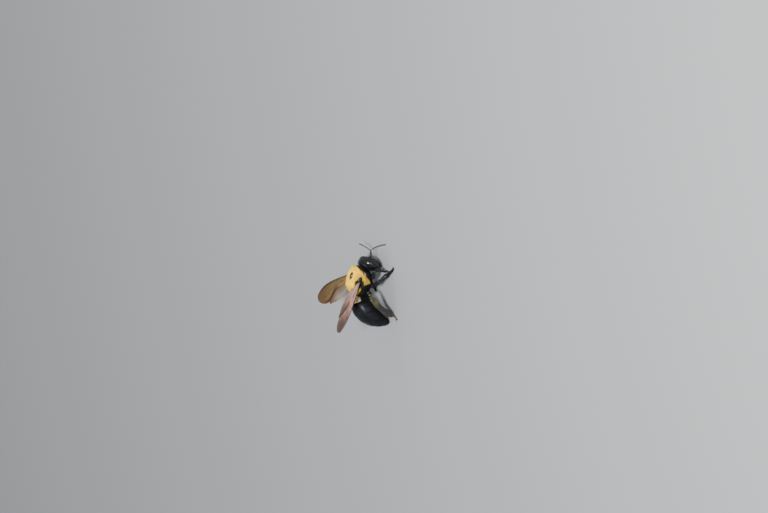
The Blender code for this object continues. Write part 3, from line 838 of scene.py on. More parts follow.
class BeeHead(bpy.types.Operator):
    """Wraps the head's shell and adds the simple eyes, jaws, lip and tongue"""

    bl_idname = "bee.head"
    bl_label = "Head and mouth"

    def execute(self, context):
        skull = head_frame()
        shell = wrapped(("head",), skull @ Vector((0, -0.35 * MM, 0)), reach=7, ease=7)
        swollen(shell, face_relief(local(skull, rows_of(shell.data))) - HEAD_HAIR_DEPTH)
        modified(shell, "SMOOTH", factor=0.5, iterations=1)
        piece("head_shell", [shell], "shell_black", "shell", "head")
        beads = [self.simple_eye(skull, shell, x, z) for x, z in SIMPLE_EYES]
        piece("simple_eyes", beads, "eye_facets", "eye")
        for side, sign in SIDES.items():
            self.jaw(skull, f"mandible_{side}", sign, f"jaw_{side}")
        piece("upper_lip", [refined("labrum")], "shell_black", "shell", "labrum")
        piece("folded_tongue", [refined("proboscis")], "foot_brown", "shell", "proboscis")
        return {"FINISHED"}

    def simple_eye(self, skull, shell, x, z):
        """A glassy bead on the crown, half sunk."""
        inwards = (skull.to_3x3() @ Vector((0, 1, 0))).normalized()
        _, place, normal, _ = shell.ray_cast(skull @ (Vector((x, -5, z)) * MM), inwards)
        deselect()
        bpy.ops.mesh.primitive_uv_sphere_add(segments=24, ring_count=14, radius=SIMPLE_EYE_RADIUS * MM,
                                             location=place - normal * SIMPLE_EYE_SUNK * MM)
        return smooth(settled(bpy.context.object))

    def jaw(self, skull, node, sign, name):
        """A curved jaw, broad at its hinge, with two blunt teeth."""
        line = Line.of(node, skull @ (Vector((sign * 1.6, -0.5, -2.3)) * MM), 2)
        blank, tooth = turned("jaw"), turned("tooth")
        up = skull.to_3x3() @ Vector((0, 1, 0))
        parts = [laid(blank, line, thick=0.36, wide=0.8, up=up, span=(-0.04, 1.0))]
        (tip,), (way,) = line.at(0.86)
        across = unit(np.cross(way, up))
        for shift in (0.16, -0.14):
            root = tip + across * shift * MM
            parts.append(laid(tooth, Line([root, root + way * 0.34 * MM]), thick=0.14))
        remove(blank, tooth)
        piece(name, parts, "shell_black", "shell", node)


class BeeEyes(bpy.types.Operator):
    """Rounds off the large eyes and seats them in their rims"""

    bl_idname = "bee.eyes"
    bl_label = "Large eyes"

    def execute(self, context):
        for side in SIDES:
            eye = swollen(refined(f"eye_{side}", levels=3, ease=4), EYE_SWELL)
            piece(f"faceted_eye_{side}", [eye], "eye_facets", "eye", f"eye_{side}")
        return {"FINISHED"}


class BeeFeelers(bpy.types.Operator):
    """Turns the feelers: shaft, elbow and beads that narrow at their joints"""

    bl_idname = "bee.feelers"
    bl_label = "Feelers"

    def execute(self, context):
        skull = head_frame()
        shaft, bead = turned("scape"), turned("bead")
        stops = [0.0, 0.055, *np.linspace(0.26, 1.0, 10)]
        for side, sign in SIDES.items():
            x, *rest = FEELER_SOCKET
            first = Line.of(f"antenna_scape_{side}", skull @ (Vector((sign * x, *rest)) * MM))
            scape = laid(shaft, first, thick=0.185, span=(-0.06, 1.0))
            piece(f"feeler_shaft_{side}", [scape], "limb_black", "shell", f"antenna_scape_{side}")
            elbow = first.at(1.0)[0][0]
            whole = Line(np.vstack([elbow, Line.of(f"antenna_flagellum_{side}", elbow, 3).rows]))
            beads = []
            for k, (start, end) in enumerate(zip(stops, stops[1:])):
                thick = 0.175 + 0.01 * min(1.0, k / 5) if k else 0.15
                beads.append(laid(bead, whole, thick, span=(start, end - 0.004)))
            piece(f"feeler_beads_{side}", beads, "limb_black", "shell", f"antenna_flagellum_{side}")
        remove(shaft, bead)
        return {"FINISHED"}


# ---------------- tail

TAIL_CUTS = (0.0, 0.17, 0.36, 0.53, 0.69, 0.84, 1.0)
RINGS = len(TAIL_CUTS) - 1
TAIL_SIDES = 72
TAIL_ROWS = 120
# Shares of the tail's length that a plate reaches under the one before, and millimetres of its form.
PLATE_OVERLAP = 0.035
PLATE_INSET = 0.055
PLATE_TUCK = 0.16
PLATE_WALL = 0.34
RIM_LIP = 0.035
FLANK_CREASE = 0.09


def tail_axis(share):
    """Middle of the tail and its upward direction, in the tail's frame, at a share of its length."""
    s = bpy.context.scene.bee_stance
    radius = s.tail_length / MM / (s.tail_last - s.tail_first)
    slope = s.tail_first + (s.tail_last - s.tail_first) * share
    up = Vector((0, math.sin(slope), math.cos(slope)))
    return (up - Vector((0, math.sin(s.tail_first), math.cos(s.tail_first)))) * radius, up


def tail_form():
    """Distances from the tail's axis to the solids, rows by turns, eased."""
    tail = tail_frame()
    mould = cast_of(*[f"abdomen_{k + 1}" for k in range(RINGS)])
    shares = np.linspace(0.004, 0.998, TAIL_ROWS)
    table = np.zeros((TAIL_ROWS, TAIL_SIDES))
    for r, share in enumerate(shares):
        centre, up = tail_axis(share)
        for c in range(TAIL_SIDES):
            turn = 2 * math.pi * c / TAIL_SIDES
            out = Vector((math.cos(turn), 0, 0)) + up * math.sin(turn)
            start = tail @ ((centre + out * 6.0) * MM)
            hit, place, _, _ = mould.ray_cast(start, -(tail.to_3x3() @ out), distance=5.9 * MM)
            table[r, c] = (place - tail @ (centre * MM)).length / MM if hit else 0.0
    remove(mould)
    form = np.median([np.roll(table, shift, 0) for shift in range(-3, 4)], 0)
    form[:4], form[-4:] = table[:4], table[-4:]
    for _ in range(5):
        form = 0.5 * form + 0.25 * (np.roll(form, 1, 1) + np.roll(form, -1, 1))
        form[1:-1] = 0.5 * form[1:-1] + 0.25 * (form[2:] + form[:-2])
    return shares, form


class BeeTail(bpy.types.Operator):
    """Builds the tail's plates, each rim lying over the front of the next"""

    bl_idname = "bee.tail"
    bl_label = "Tail plates"

    def execute(self, context):
        shares, form = tail_form()
        tail = tail_frame()
        for k in range(RINGS):
            plate = outward(smooth(self.plate(tail, shares, form, k)))
            # The first plate takes the rougher finish whose darker colour is painted shade.
            finish = "tail_black" if k else "tail_velvet"
            piece(f"tail_plate_{k + 1}", [plate], finish, "shell", f"abdomen_{k + 1}")
        centre, up = tail_axis(0.985)
        tip, _ = tail_axis(1.0)
        blank = turned("tail_tip", 2)
        line = Line(placed(tail, [centre, tip + (tip - centre) * 0.9]))
        end = laid(blank, line, thick=0.46, up=tail.to_3x3() @ up)
        remove(blank)
        piece("tail_tip", [end], "tail_black", "shell")
        return {"FINISHED"}

    def plate(self, tail, shares, form, number):
        """One closed ring: its outer face, a rounded rim and its inner face."""
        first, last = TAIL_CUTS[number] - (PLATE_OVERLAP if number else 0), TAIL_CUTS[number + 1]
        low, high = max(first, 0.006), min(last, 0.992)
        turns = 2 * np.pi * np.arange(TAIL_SIDES) / TAIL_SIDES
        flank = ridge(np.sin(turns) + 0.42, 0.07)
        rows, lie, place = [], [], []

        def ring(share, drop, inner):
            here = np.array([np.interp(share, shares, column) for column in form.T])
            centre, up = tail_axis(share)
            reach = np.maximum(here - drop - (0 if inner else FLANK_CREASE * flank), 0.05)
            out = np.outer(np.cos(turns), (1, 0, 0)) + np.outer(np.sin(turns), up)
            rows.append(np.array(centre) + out * reach[:, None])
            lie.append(np.tile(unit(tail_axis(share + 0.01)[0] - centre), (TAIL_SIDES, 1)))
            bald = float(inner or (number > 0 and share < first + 0.04))
            place.append(np.stack([turns / (2 * np.pi), *np.full((2, TAIL_SIDES), [[share], [bald]])], 1))

        for share in np.linspace(low, high, 26):
            tuck = PLATE_TUCK * step(0.045, 0.0, share - first) if number else 0.0
            ring(share, PLATE_INSET + tuck - RIM_LIP * step(0.05, 0.0, last - share), False)
        for turn in (0.3, 0.7, 1.0):
            ring(high + 0.0035 * math.sin(turn * math.pi) * (number < RINGS - 1), 0.02 + 0.13 * turn, False)
        for share in np.linspace(high, low, 8):
            ring(share, PLATE_WALL, True)
        thing = grid(placed(tail, np.array(rows)), True)
        mark(thing.data, "lie", turned_by(tail, np.vstack(lie)))
        mark(thing.data, "place", np.vstack(place))
        return thing


# ---------------- wings


class Blade:
    """One wing of the frame, read in its own plane: X along it and Y to its leading edge."""

    def __init__(self, matrix, node, first, tuck):
        self.matrix = matrix
        self.first = first
        self.tuck = tuck
        mould = cast_of(node)
        rows = local(matrix, rows_of(mould.data))
        pairs = np.zeros(len(mould.data.edges) * 2, np.int32)
        mould.data.edges.foreach_get("vertices", pairs)
        remove(mould)
        self.ends = rows[pairs[0::2]], rows[pairs[1::2]]
        self.length = rows[:, 0].max()
        self.xs = np.linspace(rows[:, 0].min() + 0.02, self.length - 0.02, 90)
        self.lead, self.trail = np.array([self.cut(x) for x in self.xs]).T
        for edge in (self.lead, self.trail):
            for _ in range(3):
                edge[1:-1] = 0.5 * edge[1:-1] + 0.25 * (edge[2:] + edge[:-2])

    def cut(self, x):
        """Leading and trailing edge where a plane across the wing cuts it."""
        a, b = self.ends
        crossing = (a[:, 0] - x) * (b[:, 0] - x) <= 0
        a, b = a[crossing], b[crossing]
        t = (x - a[:, 0]) / np.where(np.abs(b[:, 0] - a[:, 0]) < 1e-9, 1e-9, b[:, 0] - a[:, 0])
        y = a[:, 1] + (b[:, 1] - a[:, 1]) * np.clip(t, 0, 1)
        return y.max(), y.min()

    def surface(self, along, across, lift=0.0):
        """Points at shares along the wing and across it, drawn in to the root before the solids begin."""
        x = self.first + (self.length - TIP_GAP - self.first) * along
        neck = np.clip(x / self.xs[0], 0, 1)
        lead = (np.interp(x, self.xs, self.lead) + self.tuck) * (0.55 + 0.45 * neck)
        trail = np.interp(x, self.xs, self.trail) * (0.45 + 0.55 * neck)
        bow = WING_BOW * np.sin(np.pi * 0.9 * along) * np.sin(np.pi * across)
        pleat = WING_PLEAT * np.sin(across * 19.0 + 2.0) * step(0.03, 0.2, along) * step(1.0, 0.6, along)
        below = 0.25 * self.tuck * step(0.35, 0.0, across)
        y = lead + (trail - lead) * across
        return placed(self.matrix, np.stack([x, y, bow + pleat + lift - below], -1))


# Millimetres from a film's tip to the solids' own, its bow and the height of its pleats.
TIP_GAP = 0.20
WING_BOW = 0.26
WING_PLEAT = 0.035
# How each wing is held: sweep, lift and twist in degrees.
WING_HOLDS = {"left": (54.0, 15.5, -35.0), "right": (16.8, 10.5, 4.0)}
# Veins as points at shares along the wing and across it from its leading edge, with their thickness.
FORE_VEINS = {
    "leading edge": (0.11, ((0.0, 0.06), (0.2, 0.02), (0.45, 0.012), (0.62, 0.015), (0.76, 0.02))),
    "second edge": (0.075, ((0.0, 0.22), (0.2, 0.10), (0.4, 0.062), (0.55, 0.05), (0.60, 0.045))),
    "long cell": (0.05, ((0.56, 0.04), (0.60, 0.085), (0.68, 0.115), (0.78, 0.11), (0.86, 0.07),
                         (0.895, 0.035))),
    "middle stem": (0.065, ((0.0, 0.45), (0.12, 0.36), (0.25, 0.30), (0.38, 0.27))),
    "basal": (0.055, ((0.38, 0.27), (0.41, 0.18), (0.44, 0.075))),
    "hind stem": (0.055, ((0.0, 0.72), (0.15, 0.72), (0.30, 0.70), (0.46, 0.70), (0.60, 0.80),
                          (0.66, 0.90))),
    "cross stem": (0.045, ((0.31, 0.285), (0.33, 0.5), (0.345, 0.70))),
    "cell floor": (0.048, ((0.41, 0.20), (0.50, 0.245), (0.60, 0.27), (0.70, 0.26), (0.75, 0.22))),
    "first cross": (0.042, ((0.505, 0.245), (0.53, 0.15), (0.545, 0.06))),
    "second cross": (0.042, ((0.60, 0.27), (0.60, 0.18), (0.60, 0.09))),
    "third cross": (0.042, ((0.75, 0.22), (0.73, 0.16), (0.715, 0.115))),
    "disc": (0.045, ((0.38, 0.27), (0.46, 0.42), (0.56, 0.50), (0.67, 0.47), (0.70, 0.26))),
    "disc cross": (0.042, ((0.46, 0.70), (0.50, 0.60), (0.53, 0.48))),
    "disc end": (0.042, ((0.61, 0.27), (0.62, 0.38), (0.60, 0.495))),
    "outer run": (0.038, ((0.67, 0.47), (0.74, 0.58), (0.78, 0.72))),
    "hooked edge": (0.13, ((0.40, 0.95), (0.52, 0.94), (0.64, 0.945), (0.72, 0.97))),
}
HIND_VEINS = {
    "leading edge": (0.085, ((0.0, 0.10), (0.25, 0.05), (0.5, 0.03), (0.68, 0.03))),
    "stem": (0.055, ((0.0, 0.35), (0.2, 0.30), (0.4, 0.26), (0.5, 0.22), (0.62, 0.16), (0.78, 0.14))),
    "hind stem": (0.048, ((0.0, 0.62), (0.2, 0.62), (0.4, 0.60), (0.6, 0.68), (0.72, 0.80))),
    "cross": (0.042, ((0.42, 0.255), (0.44, 0.42), (0.45, 0.605))),
    "outer": (0.036, ((0.45, 0.45), (0.6, 0.42), (0.72, 0.40))),
}
# Where each kind of wing begins, how far its leading edge is tucked under, in millimetres, and its veins.
WING_KINDS = {"forewing": (0.1, 0, FORE_VEINS), "hindwing": (0.5, 0.3, HIND_VEINS)}
# Smoky spots of the forewings: shares along and across, and darkness.
WING_SPOTS = ((0.29, 0.59, 0.80), (0.46, 0.79, 0.85), (0.53, 0.83, 1.0))


def wing_frame(side):
    """A wing's frame: +X along it, +Y to its leading edge, from its root."""
    sign = SIDES[side]
    sweep, lift, twist = np.radians(WING_HOLDS[side])
    level = math.cos(lift)
    out = Vector((sign * math.sin(sweep) * level, math.cos(sweep) * level, math.sin(lift)))
    lead = Vector((sign, 0, 0)) - out * out.x * sign
    lead.normalize()
    up = out.cross(lead) * (1 if out.cross(lead).z > 0 else -1)
    turn = Matrix.Rotation(twist * sign, 3, out)
    matrix = Matrix((out, turn @ lead, turn @ up)).transposed().to_4x4()
    matrix.translation = Vector((sign * WING_ROOT[0], *WING_ROOT[1:])) * MM
    return trunk_frame() @ matrix


class BeeWingPairs(bpy.types.Operator):
    """Makes the four membranes with their veins, from the root to the solids' own edges"""

    bl_idname = "bee.wings"
    bl_label = "Wings"

    def execute(self, context):
        strand = turned("strand", 0)
        # The right wing takes the film with painted reflection.
        for side, film in (("left", "wing_amber"), ("right", "wing_mauve")):
            matrix = wing_frame(side)
            for kind, (first, tuck, veins) in WING_KINDS.items():
                blade = Blade(matrix, f"{kind}_{side}", first, tuck)
                sheet = self.membrane(blade, side == "left")
                piece(f"{kind}_film_{side}", [sheet], film, "wing", f"{kind}_{side}")
                ribs = []
                for thick, stops in veins.values():
                    line = Line.through(stops, 8)
                    path = Line(blade.surface(*line.rows.T, 0.01))
                    ribs.append(laid(strand, path, thick * 0.72, 1.25, matrix.to_3x3().col[2]))
                outward(piece(f"{kind}_veins_{side}", ribs, "wing_vein", "wing"))
        remove(strand)
        return {"FINISHED"}

    def membrane(self, blade, left):
        """A thin closed sheet, with its markings for the finish."""
        along = np.concatenate([np.linspace(0, 0.9, 110), np.linspace(0.9, 1.0, 24)[1:]])
        a, c = np.meshgrid(along, np.linspace(0, 1, 40), indexing="ij")
        sheet = grid(blade.surface(a, c), False)
        if blade.tuck:
            border = np.maximum(step(0.12, 0.03, c), step(0.96, 1.0, c) * 0.6)
            reach = a + 0.35 * (1 - a)
            clear = step(0.98, 0.5, a) * (0.35 + 0.65 * step(0.2, 0.8, c)) * (1.0 if left else 0.2)
            blotch = 0.0 * a
        else:
            hooked = step(0.80, 0.90, c) * step(0.40, 0.56, a) * step(0.86, 0.74, a)
            border = np.maximum(step(0.17, 0.06, c), hooked * (1.0 if left else 0.25))
            reach = a
            clear = 0.0 * a
            blotch = 0.2 * step(0.02, 0.12, c) * step(0.85, 0.6, c) * step(0.75, 0.45, a)
            for spot_a, spot_c, dark in WING_SPOTS:
                blotch += dark * bump(a - spot_a, c - spot_c, 0.035, 0.12)
            blotch = np.minimum(blotch, 1.0)
        for name, rows in (("border", border), ("reach", reach), ("clear", clear), ("blotch", blotch)):
            mark(sheet.data, name, rows.ravel())
        modified(sheet, "SOLIDIFY", thickness=bpy.context.scene.bee_wings.thickness, offset=0.0)
        bpy.ops.object.shade_smooth_by_angle(angle=math.radians(40))
        return sheet


# ---------------- legs

LEG_SHAFTS = ("coxa", "ring", "femur", "tibia", "basitarsus", "joint", "end_joint", "hook")
# Each shaft's finished piece, the span of its line that it covers, its strip of the unwrap and its slot.
LEG_PIECES = {
    "coxa": ("hip", (-0.35, 1.0), 0, "leg_hair"),
    "femur": ("thigh", (-0.04, 1.03), 2, "shell"),
    "tibia": ("shin", (-0.04, 1.02), 3, "leg_hair"),
    "basitarsus": ("long_joint", (-0.03, 1.02), 4, "leg_hair"),
}
# Half-thickness of each pair's shafts inside their hair, in millimetres, and their width as a share of it.
LEG_SHAPES = {
    "fore": ((0.66, 1.0), (0.60, 0.82), (0.47, 1.0), (0.29, 0.78)),
    "mid": ((0.66, 1.0), (0.64, 0.82), (0.57, 1.0), (0.36, 0.78)),
    "hind": ((0.68, 1.0), (0.56, 0.82), (0.58, 0.72), (0.50, 0.62)),
}
SPURS = {"fore": (0.25,), "mid": (-0.2,), "hind": (0.28, -0.28)}
# Stoutness and finish of each pair's toes.
TOES = {"fore": (1.0, "foot_dark"), "mid": (1.3, "limb_black"), "hind": (1.45, "foot_brown")}
TOE_STOPS = (-0.03, 0.14, 0.29, 0.43, 0.80)
# The outer and the inner prong of a claw: reach, spread and thickness.
PRONGS = ((0.62, 0.34, 0.075), (0.42, 0.14, 0.055))


class BeeLegs(bpy.types.Operator):
    """Builds the six legs from hip to claws"""

    bl_idname = "bee.legs"
    bl_label = "Legs"

    def execute(self, context):
        blanks = {name: turned(name) for name in LEG_SHAFTS}
        for pair in PAIRS:
            self.leg(pair, blanks, trunk_frame().translation)
        remove(*blanks.values())
        return {"FINISHED"}

    def leg(self, pair, blanks, near):
        kind = pair.split("_")[0]
        lines = {}
        for part in LEG_PIECES:
            lines[part] = Line.of(f"leg_{pair}_{part}", near)
            near = lines[part].rows[-1]
        coxa, femur, tibia = (lines[part].rows for part in ("coxa", "femur", "tibia"))
        hinge = np.cross(femur[-1] - femur[0], tibia[-1] - tibia[0])
        gap = Line([coxa[-1], femur[0]])
        extras = {
            "coxa": [laid(blanks["ring"], gap, thick=0.36, up=hinge, span=(-0.5, 1.6), strip=1)],
            "tibia": [self.spur(blanks, lines["tibia"], hinge, shift, kind) for shift in SPURS[kind]],
        }
        for (part, (name, span, strip, slot)), (thick, wide) in zip(LEG_PIECES.items(), LEG_SHAPES[kind]):
            shaft = laid(blanks[part], lines[part], thick, wide, hinge, span, strip)
            parts = [shaft, *extras.get(part, [])]
            piece(f"{name}_{pair}", parts, "limb_black", slot, f"leg_{pair}_{part}")
        self.toes(pair, near, blanks, *TOES[kind])

    def spur(self, blanks, tibia, hinge, shift, kind):
        """A movable spine at the end of the shin."""
        (root,), (way,) = tibia.at(0.97)
        out = unit(np.cross(hinge, way)) * 0.22 + unit(hinge) * shift
        reach = MM * (1.0 if kind == "hind" else 0.8)
        line = Line([root + out * 0.8 * MM, root + (way * 0.85 + out * 1.6) * reach])
        return laid(blanks["hook"], line, thick=0.06, bare=True)

    def toes(self, pair, near, blanks, fat, finish):
        """Three short joints, the end joint, two claws and the pad between them, down to the floor."""
        node = f"leg_{pair}_tarsus"
        rows = Line.of(node, near, 3).rows
        rows[:, 2] = np.maximum(rows[:, 2], 0.19 * fat * MM)
        line = Line(rows)
        parts = []
        for k, span in enumerate(zip(TOE_STOPS, TOE_STOPS[1:])):
            blank, thick = ("end_joint", 0.19) if k == 3 else ("joint", 0.23 - 0.012 * k)
            parts.append(laid(blanks[blank], line, thick * fat, span=span, strip=5))
        (tip,), (way,) = line.at(TOE_STOPS[-1] - 0.02)
        ahead = unit(way * (1, 1, 0.15))
        across = unit(np.cross(ahead, (0, 0, 1)))
        for sign in (1, -1):
            for reach, spread, thick in PRONGS:
                root = tip + across * sign * 0.07 * MM
                side = across * sign * spread
                knee = root + (ahead * reach * 0.5 + side + (0, 0, 0.12)) * MM
                point = root + (ahead * reach + side * 1.15) * MM
                point[2] = thick * 0.3 * MM
                parts.append(laid(blanks["hook"], Line.through((root, knee, point), 10), thick, bare=True))
        pad_end = tip + ahead * 0.34 * MM
        pad_end[2] = 0.09 * MM
        parts.append(laid(blanks["ring"], Line([tip, pad_end]), thick=0.09, wide=1.3, bare=True))
        piece(f"toes_{pair}", parts, finish, "foot", node)


# ---------------- coat

HAIRS_PER_PIECE = 19500
PATCH = 0.003  # side of one hair's patch on the unwrap
HAIR_FACES = ((0, 1, 4, 3), (1, 2, 5, 4), (2, 0, 3, 5), (3, 4, 6), (4, 5, 6), (5, 3, 6), (0, 2, 1))
HAIR_LEVELS = np.array((0, 0, 0, 1, 1, 1, 2)) / 2
HAIR_POINTS = len(HAIR_LEVELS)
# How much hairs differ one by one, and in locks with their neighbours.
HAIR_LOOSE = 0.13
HAIR_LOCKS = 0.16
HAIR_SUNK = 0.02  # millimetres of a hair below the skin


def sown(names, density, rng):
    """Roots of hair scattered over some pieces: places, normals, lie and unwrap."""
    found = []
    for name in names:
        mesh = bpy.data.objects[name].data
        mesh.calc_loop_triangles()
        corners = np.zeros(len(mesh.loop_triangles) * 3, np.int32)
        mesh.loop_triangles.foreach_get("vertices", corners)
        corners = corners.reshape(-1, 3)
        rows, place = rows_of(mesh), marked(mesh, "place")
        a, b, c = (rows[corners[:, k]] for k in range(3))
        area = np.linalg.norm(np.cross(b - a, c - a), axis=1) / 2 / MM**2
        wanted = area * density((a + b + c) / 3, place[corners[:, 0]])
        each = np.floor(wanted + rng.random(len(wanted))).astype(int)
        tri = corners[np.repeat(np.arange(len(wanted)), each)]
        u, v = rng.random(len(tri)), rng.random(len(tri))
        over = u + v > 1
        u[over], v[over] = 1 - u[over], 1 - v[over]
        share = np.stack([1 - u - v, u, v], 1)[:, :, None]
        spot = (place[tri] * share).sum(1)
        spot[:, 0] = place[tri[:, 0], 0]
        normals = unit((rows_of(mesh, "normal")[tri] * share).sum(1))
        found.append(((rows[tri] * share).sum(1), normals, marked(mesh, "lie")[tri[:, 0]], spot))
    return [np.concatenate(rows) for rows in zip(*found)]


def ball_unwrap(here):
    """Longitude and latitude round a rounded form, from rows of its own frame."""
    up = np.arccos(np.clip(here[:, 1] / np.linalg.norm(here, axis=1), -1, 1)) / np.pi
    return np.stack([np.arctan2(here[:, 0], here[:, 2]) / (2 * np.pi) + 0.5, up], 1)


def free_of(nodes, roots, tips):
    """Which hairs don't run into some nodes of the frame."""
    mould = cast_of(*nodes)
    free = np.ones(len(roots), bool)
    low, high = rows_of(mould.data).min(0) - 0.2 * MM, rows_of(mould.data).max(0) + 0.2 * MM
    near = ((np.minimum(roots, tips) < high) & (np.maximum(roots, tips) > low)).all(1)
    for k in np.flatnonzero(near):
        way = tips[k] - roots[k]
        reach = float(np.linalg.norm(way))
        free[k] = not mould.ray_cast(Vector(roots[k]), Vector(way / reach), distance=reach * 1.04)[0]
    remove(mould)
    return free


def hair_mesh(name, width, roots, first, second, lengths, spots, tones, dust):
    """One joined mesh of three-sided hairs, each bent once and drawn to a point."""
    count = len(roots)
    side = unit(np.cross(first, np.where(np.abs(first[:, :1]) < 0.8, (1.0, 0, 0), (0, 1.0, 0))))
    turns = (tones * 6.28)[:, None, None] + np.array((0, 1, 2))[:, None] * 2 * np.pi / 3
    rim = side[:, None] * np.cos(turns) + np.cross(first, side)[:, None] * np.sin(turns)
    half = width * MM / 2
    knee = roots + first * (lengths * 0.5)[:, None]
    points = np.empty((count, HAIR_POINTS, 3))
    points[:, 0:3] = roots[:, None] + rim * half
    points[:, 3:6] = knee[:, None] + rim * half * 0.8
    points[:, 6] = knee + second * (lengths * 0.5)[:, None]
    order = np.concatenate(HAIR_FACES)
    sizes = [len(face) for face in HAIR_FACES]
    starts = np.cumsum([0, *sizes[:-1]])
    hairs = np.arange(count)[:, None]
    mesh = bpy.data.meshes.new(name)
    mesh.vertices.add(points.size // 3)
    mesh.vertices.foreach_set("co", points.astype(np.float32).ravel())
    mesh.loops.add(len(order) * count)
    mesh.loops.foreach_set("vertex_index", (order + HAIR_POINTS * hairs).astype(np.int32).ravel())
    mesh.polygons.add(len(starts) * count)
    mesh.polygons.foreach_set("loop_start", (starts + len(order) * hairs).astype(np.int32).ravel())
    mesh.polygons.foreach_set("use_smooth", np.ones(len(starts) * count, bool))
    mesh.update(calc_edges=True)
    patch = np.array([((corner % 3) / 3 if corner < 6 else 0.5, HAIR_LEVELS[corner]) for corner in order])
    # The corners where a hair's last side meets its first, at the right edge of its patch.
    patch[[9, 10, 19], 0] = 1.0
    layer = mesh.uv_layers.new(name="OFBake")
    layer.data.foreach_set("uv", (spots[:, None] + patch * PATCH).astype(np.float32).ravel())
    mark(mesh, "ends", np.tile(HAIR_LEVELS, count))
    mark(mesh, "tone", np.repeat(tones, HAIR_POINTS))
    # On the brushes this holds pollen; on the gold pile it holds painted shade.
    mark(mesh, "dust", np.repeat(dust, HAIR_POINTS))
    return mesh


def grown(name, finish, slot, rng, seeds, mask, spots, lengths, width, stand, clear=(), dust=0.0):
    """Hair on the seeds that a mask picks, leaning from the normal to the lie, in one or more pieces."""
    roots, normals, lie, spots = (rows[mask] for rows in (*seeds[:3], spots))
    lengths, stand, dust = (np.broadcast_to(rows, len(mask))[mask] for rows in (lengths, stand, dust))
    count = len(roots)
    lean = lie - normals * (lie * normals).sum(1, keepdims=True)
    drift = np.stack([ripple(roots / MM, 1.7, seed) for seed in (21, 22, 23)], 1)
    loose = rng.normal(size=(count, 3)) * HAIR_LOOSE
    loose += drift * HAIR_LOCKS * np.linalg.norm(lean, axis=1, keepdims=True)
    stand = stand[:, None]
    first = unit(normals * stand + lean * (1 - stand) + loose * 0.6)
    second = unit(normals * stand * 0.72 + lean * (1.15 - stand * 0.8) + loose * 1.3)
    lengths = lengths * rng.uniform(0.8, 1.06, count) * MM
    roots = roots - normals * HAIR_SUNK * MM
    tips = roots + (first + second) * (lengths / 2)[:, None]
    keep = tips[:, 2] > 0.05 * MM
    if clear:
        keep &= free_of(clear, roots, tips)
    tones = rng.random(count)
    kept = np.flatnonzero(keep)
    rng.shuffle(kept)
    parts = max(1, math.ceil(len(kept) / HAIRS_PER_PIECE))
    for k, rows in enumerate(np.array_split(kept, parts)):
        title = name if parts == 1 else f"{name}_{k + 1}"
        columns = (roots, first, second, lengths, spots, tones, dust)
        mesh = hair_mesh(title, width, *(column[rows] for column in columns))
        piece(title, [new_object(title, mesh)], finish, slot)


class BeePile(bpy.types.Operator):
    """Grows the dense pile on the trunk, gold over black by the skin's own marking"""

    bl_idname = "bee.pile"
    bl_label = "Trunk pile"

    def execute(self, context):
        coat = context.scene.bee_coat
        body = trunk_frame()
        rng = np.random.default_rng(3)

        def density(points, _):
            here = local(body, points)
            throat = step(-2.9, -3.5, here[:, 1]) * step(1.3, 0.7, here[:, 2])
            brow = step(-2.0, -3.0, here[:, 1]) * step(1.0, 1.8, here[:, 2])
            thin = (1 - 0.97 * bald_share(here)) * ((1 - 0.85 * throat) * (1 + 0.6 * brow))
            return coat.density * thin * (0.35 + 0.65 * gold_share(here)) * step(-5.1, -4.3, here[:, 1])

        seeds = sown(["trunk_skin"], density, rng)
        here = local(body, seeds[0])
        collar = step(-0.6, -4.6, here[:, 1])[:, None]
        seeds[2] = turned_by(body, np.array((0, 1.0, -0.25)) * (1 - 0.9 * collar))
        gold = gold_share(here) > rng.random(len(here)) * 0.9 + 0.05
        spots = ball_unwrap(here)
        lengths = np.maximum(pile_depth(here) / 0.80, 0.14)
        clear = ["head", "abdomen_1"]
        clear += [f"{kind}_{side}" for kind in ("forewing", "hindwing", "tegula") for side in SIDES]
        clear += [f"leg_{pair}_{part}" for pair in PAIRS for part in ("coxa", "femur")]
        # Painted shade on the gold pile: its tips darken towards olive on the lower flanks, around the wing
        # roots and at the front.
        hinge_gap = np.linalg.norm(folded(here) - (3.4, -1.3, 1.9), axis=1)
        shade = ((0.9, step(1.7, -0.1, here[:, 2])), (0.6, step(2.6, 0.6, hinge_gap)),
                 (0.3, step(-2.0, -3.6, here[:, 1])))
        shaded = np.max([share * rows for share, rows in shade], axis=0)
        for name, finish, mask, thin in (
            ("pile_gold", "pile_gold", gold, 1.0),
            ("pile_black", "hair_black", ~gold, 0.9),
        ):
            grown(name, finish, "pile", rng, seeds, mask, spots, lengths, width=coat.width / MM * thin,
                  stand=0.74, clear=clear, dust=shaded)
        return {"FINISHED"}


class BeeFaceHair(bpy.types.Operator):
    """Grows the sparse black hair of the head"""

    bl_idname = "bee.face_hair"
    bl_label = "Head hair"

    def execute(self, context):
        skull = head_frame()
        rng = np.random.default_rng(5)

        def density(points, _):
            x, y, z = local(skull, points).T
            front = step(0.2, 0.9, -y)
            disc = step(0.9, 0.3, np.hypot(np.abs(x) - 0.85, z - 0.15))
            amount = 30 + 50 * disc * front + 70 * step(-2.0, -2.7, z) + 60 * step(0.4, 0.9, y)
            bare = 0.75 * front * bump(x, z + 1.6, 1, 0.8)
            return amount * step(3.2, 2.6, np.abs(x) + 0.55 * front) * (1 - bare)

        seeds = sown(["head_shell"], density, rng)
        here = local(skull, seeds[0])
        x, y, z = here.T
        downward = np.stack([0.25 * x, np.full(len(here), 0.1), np.where(z > 1.2, 0.4, -1.0)], 1)
        seeds[2] = turned_by(skull, unit(downward))
        lengths = 0.24 + 0.16 * step(0.3, 1.0, y) + 0.22 * step(-2.2, -2.9, z) + 0.12 * step(1.9, 2.6, z)
        clear = [f"{part}_{side}" for part in ("eye", "antenna_scape") for side in SIDES] + ["thorax"]
        grown("head_hair", "hair_black", "leg_hair", rng, seeds, lengths > 0, ball_unwrap(here), lengths,
              width=0.017, stand=0.62, clear=clear)
        return {"FINISHED"}


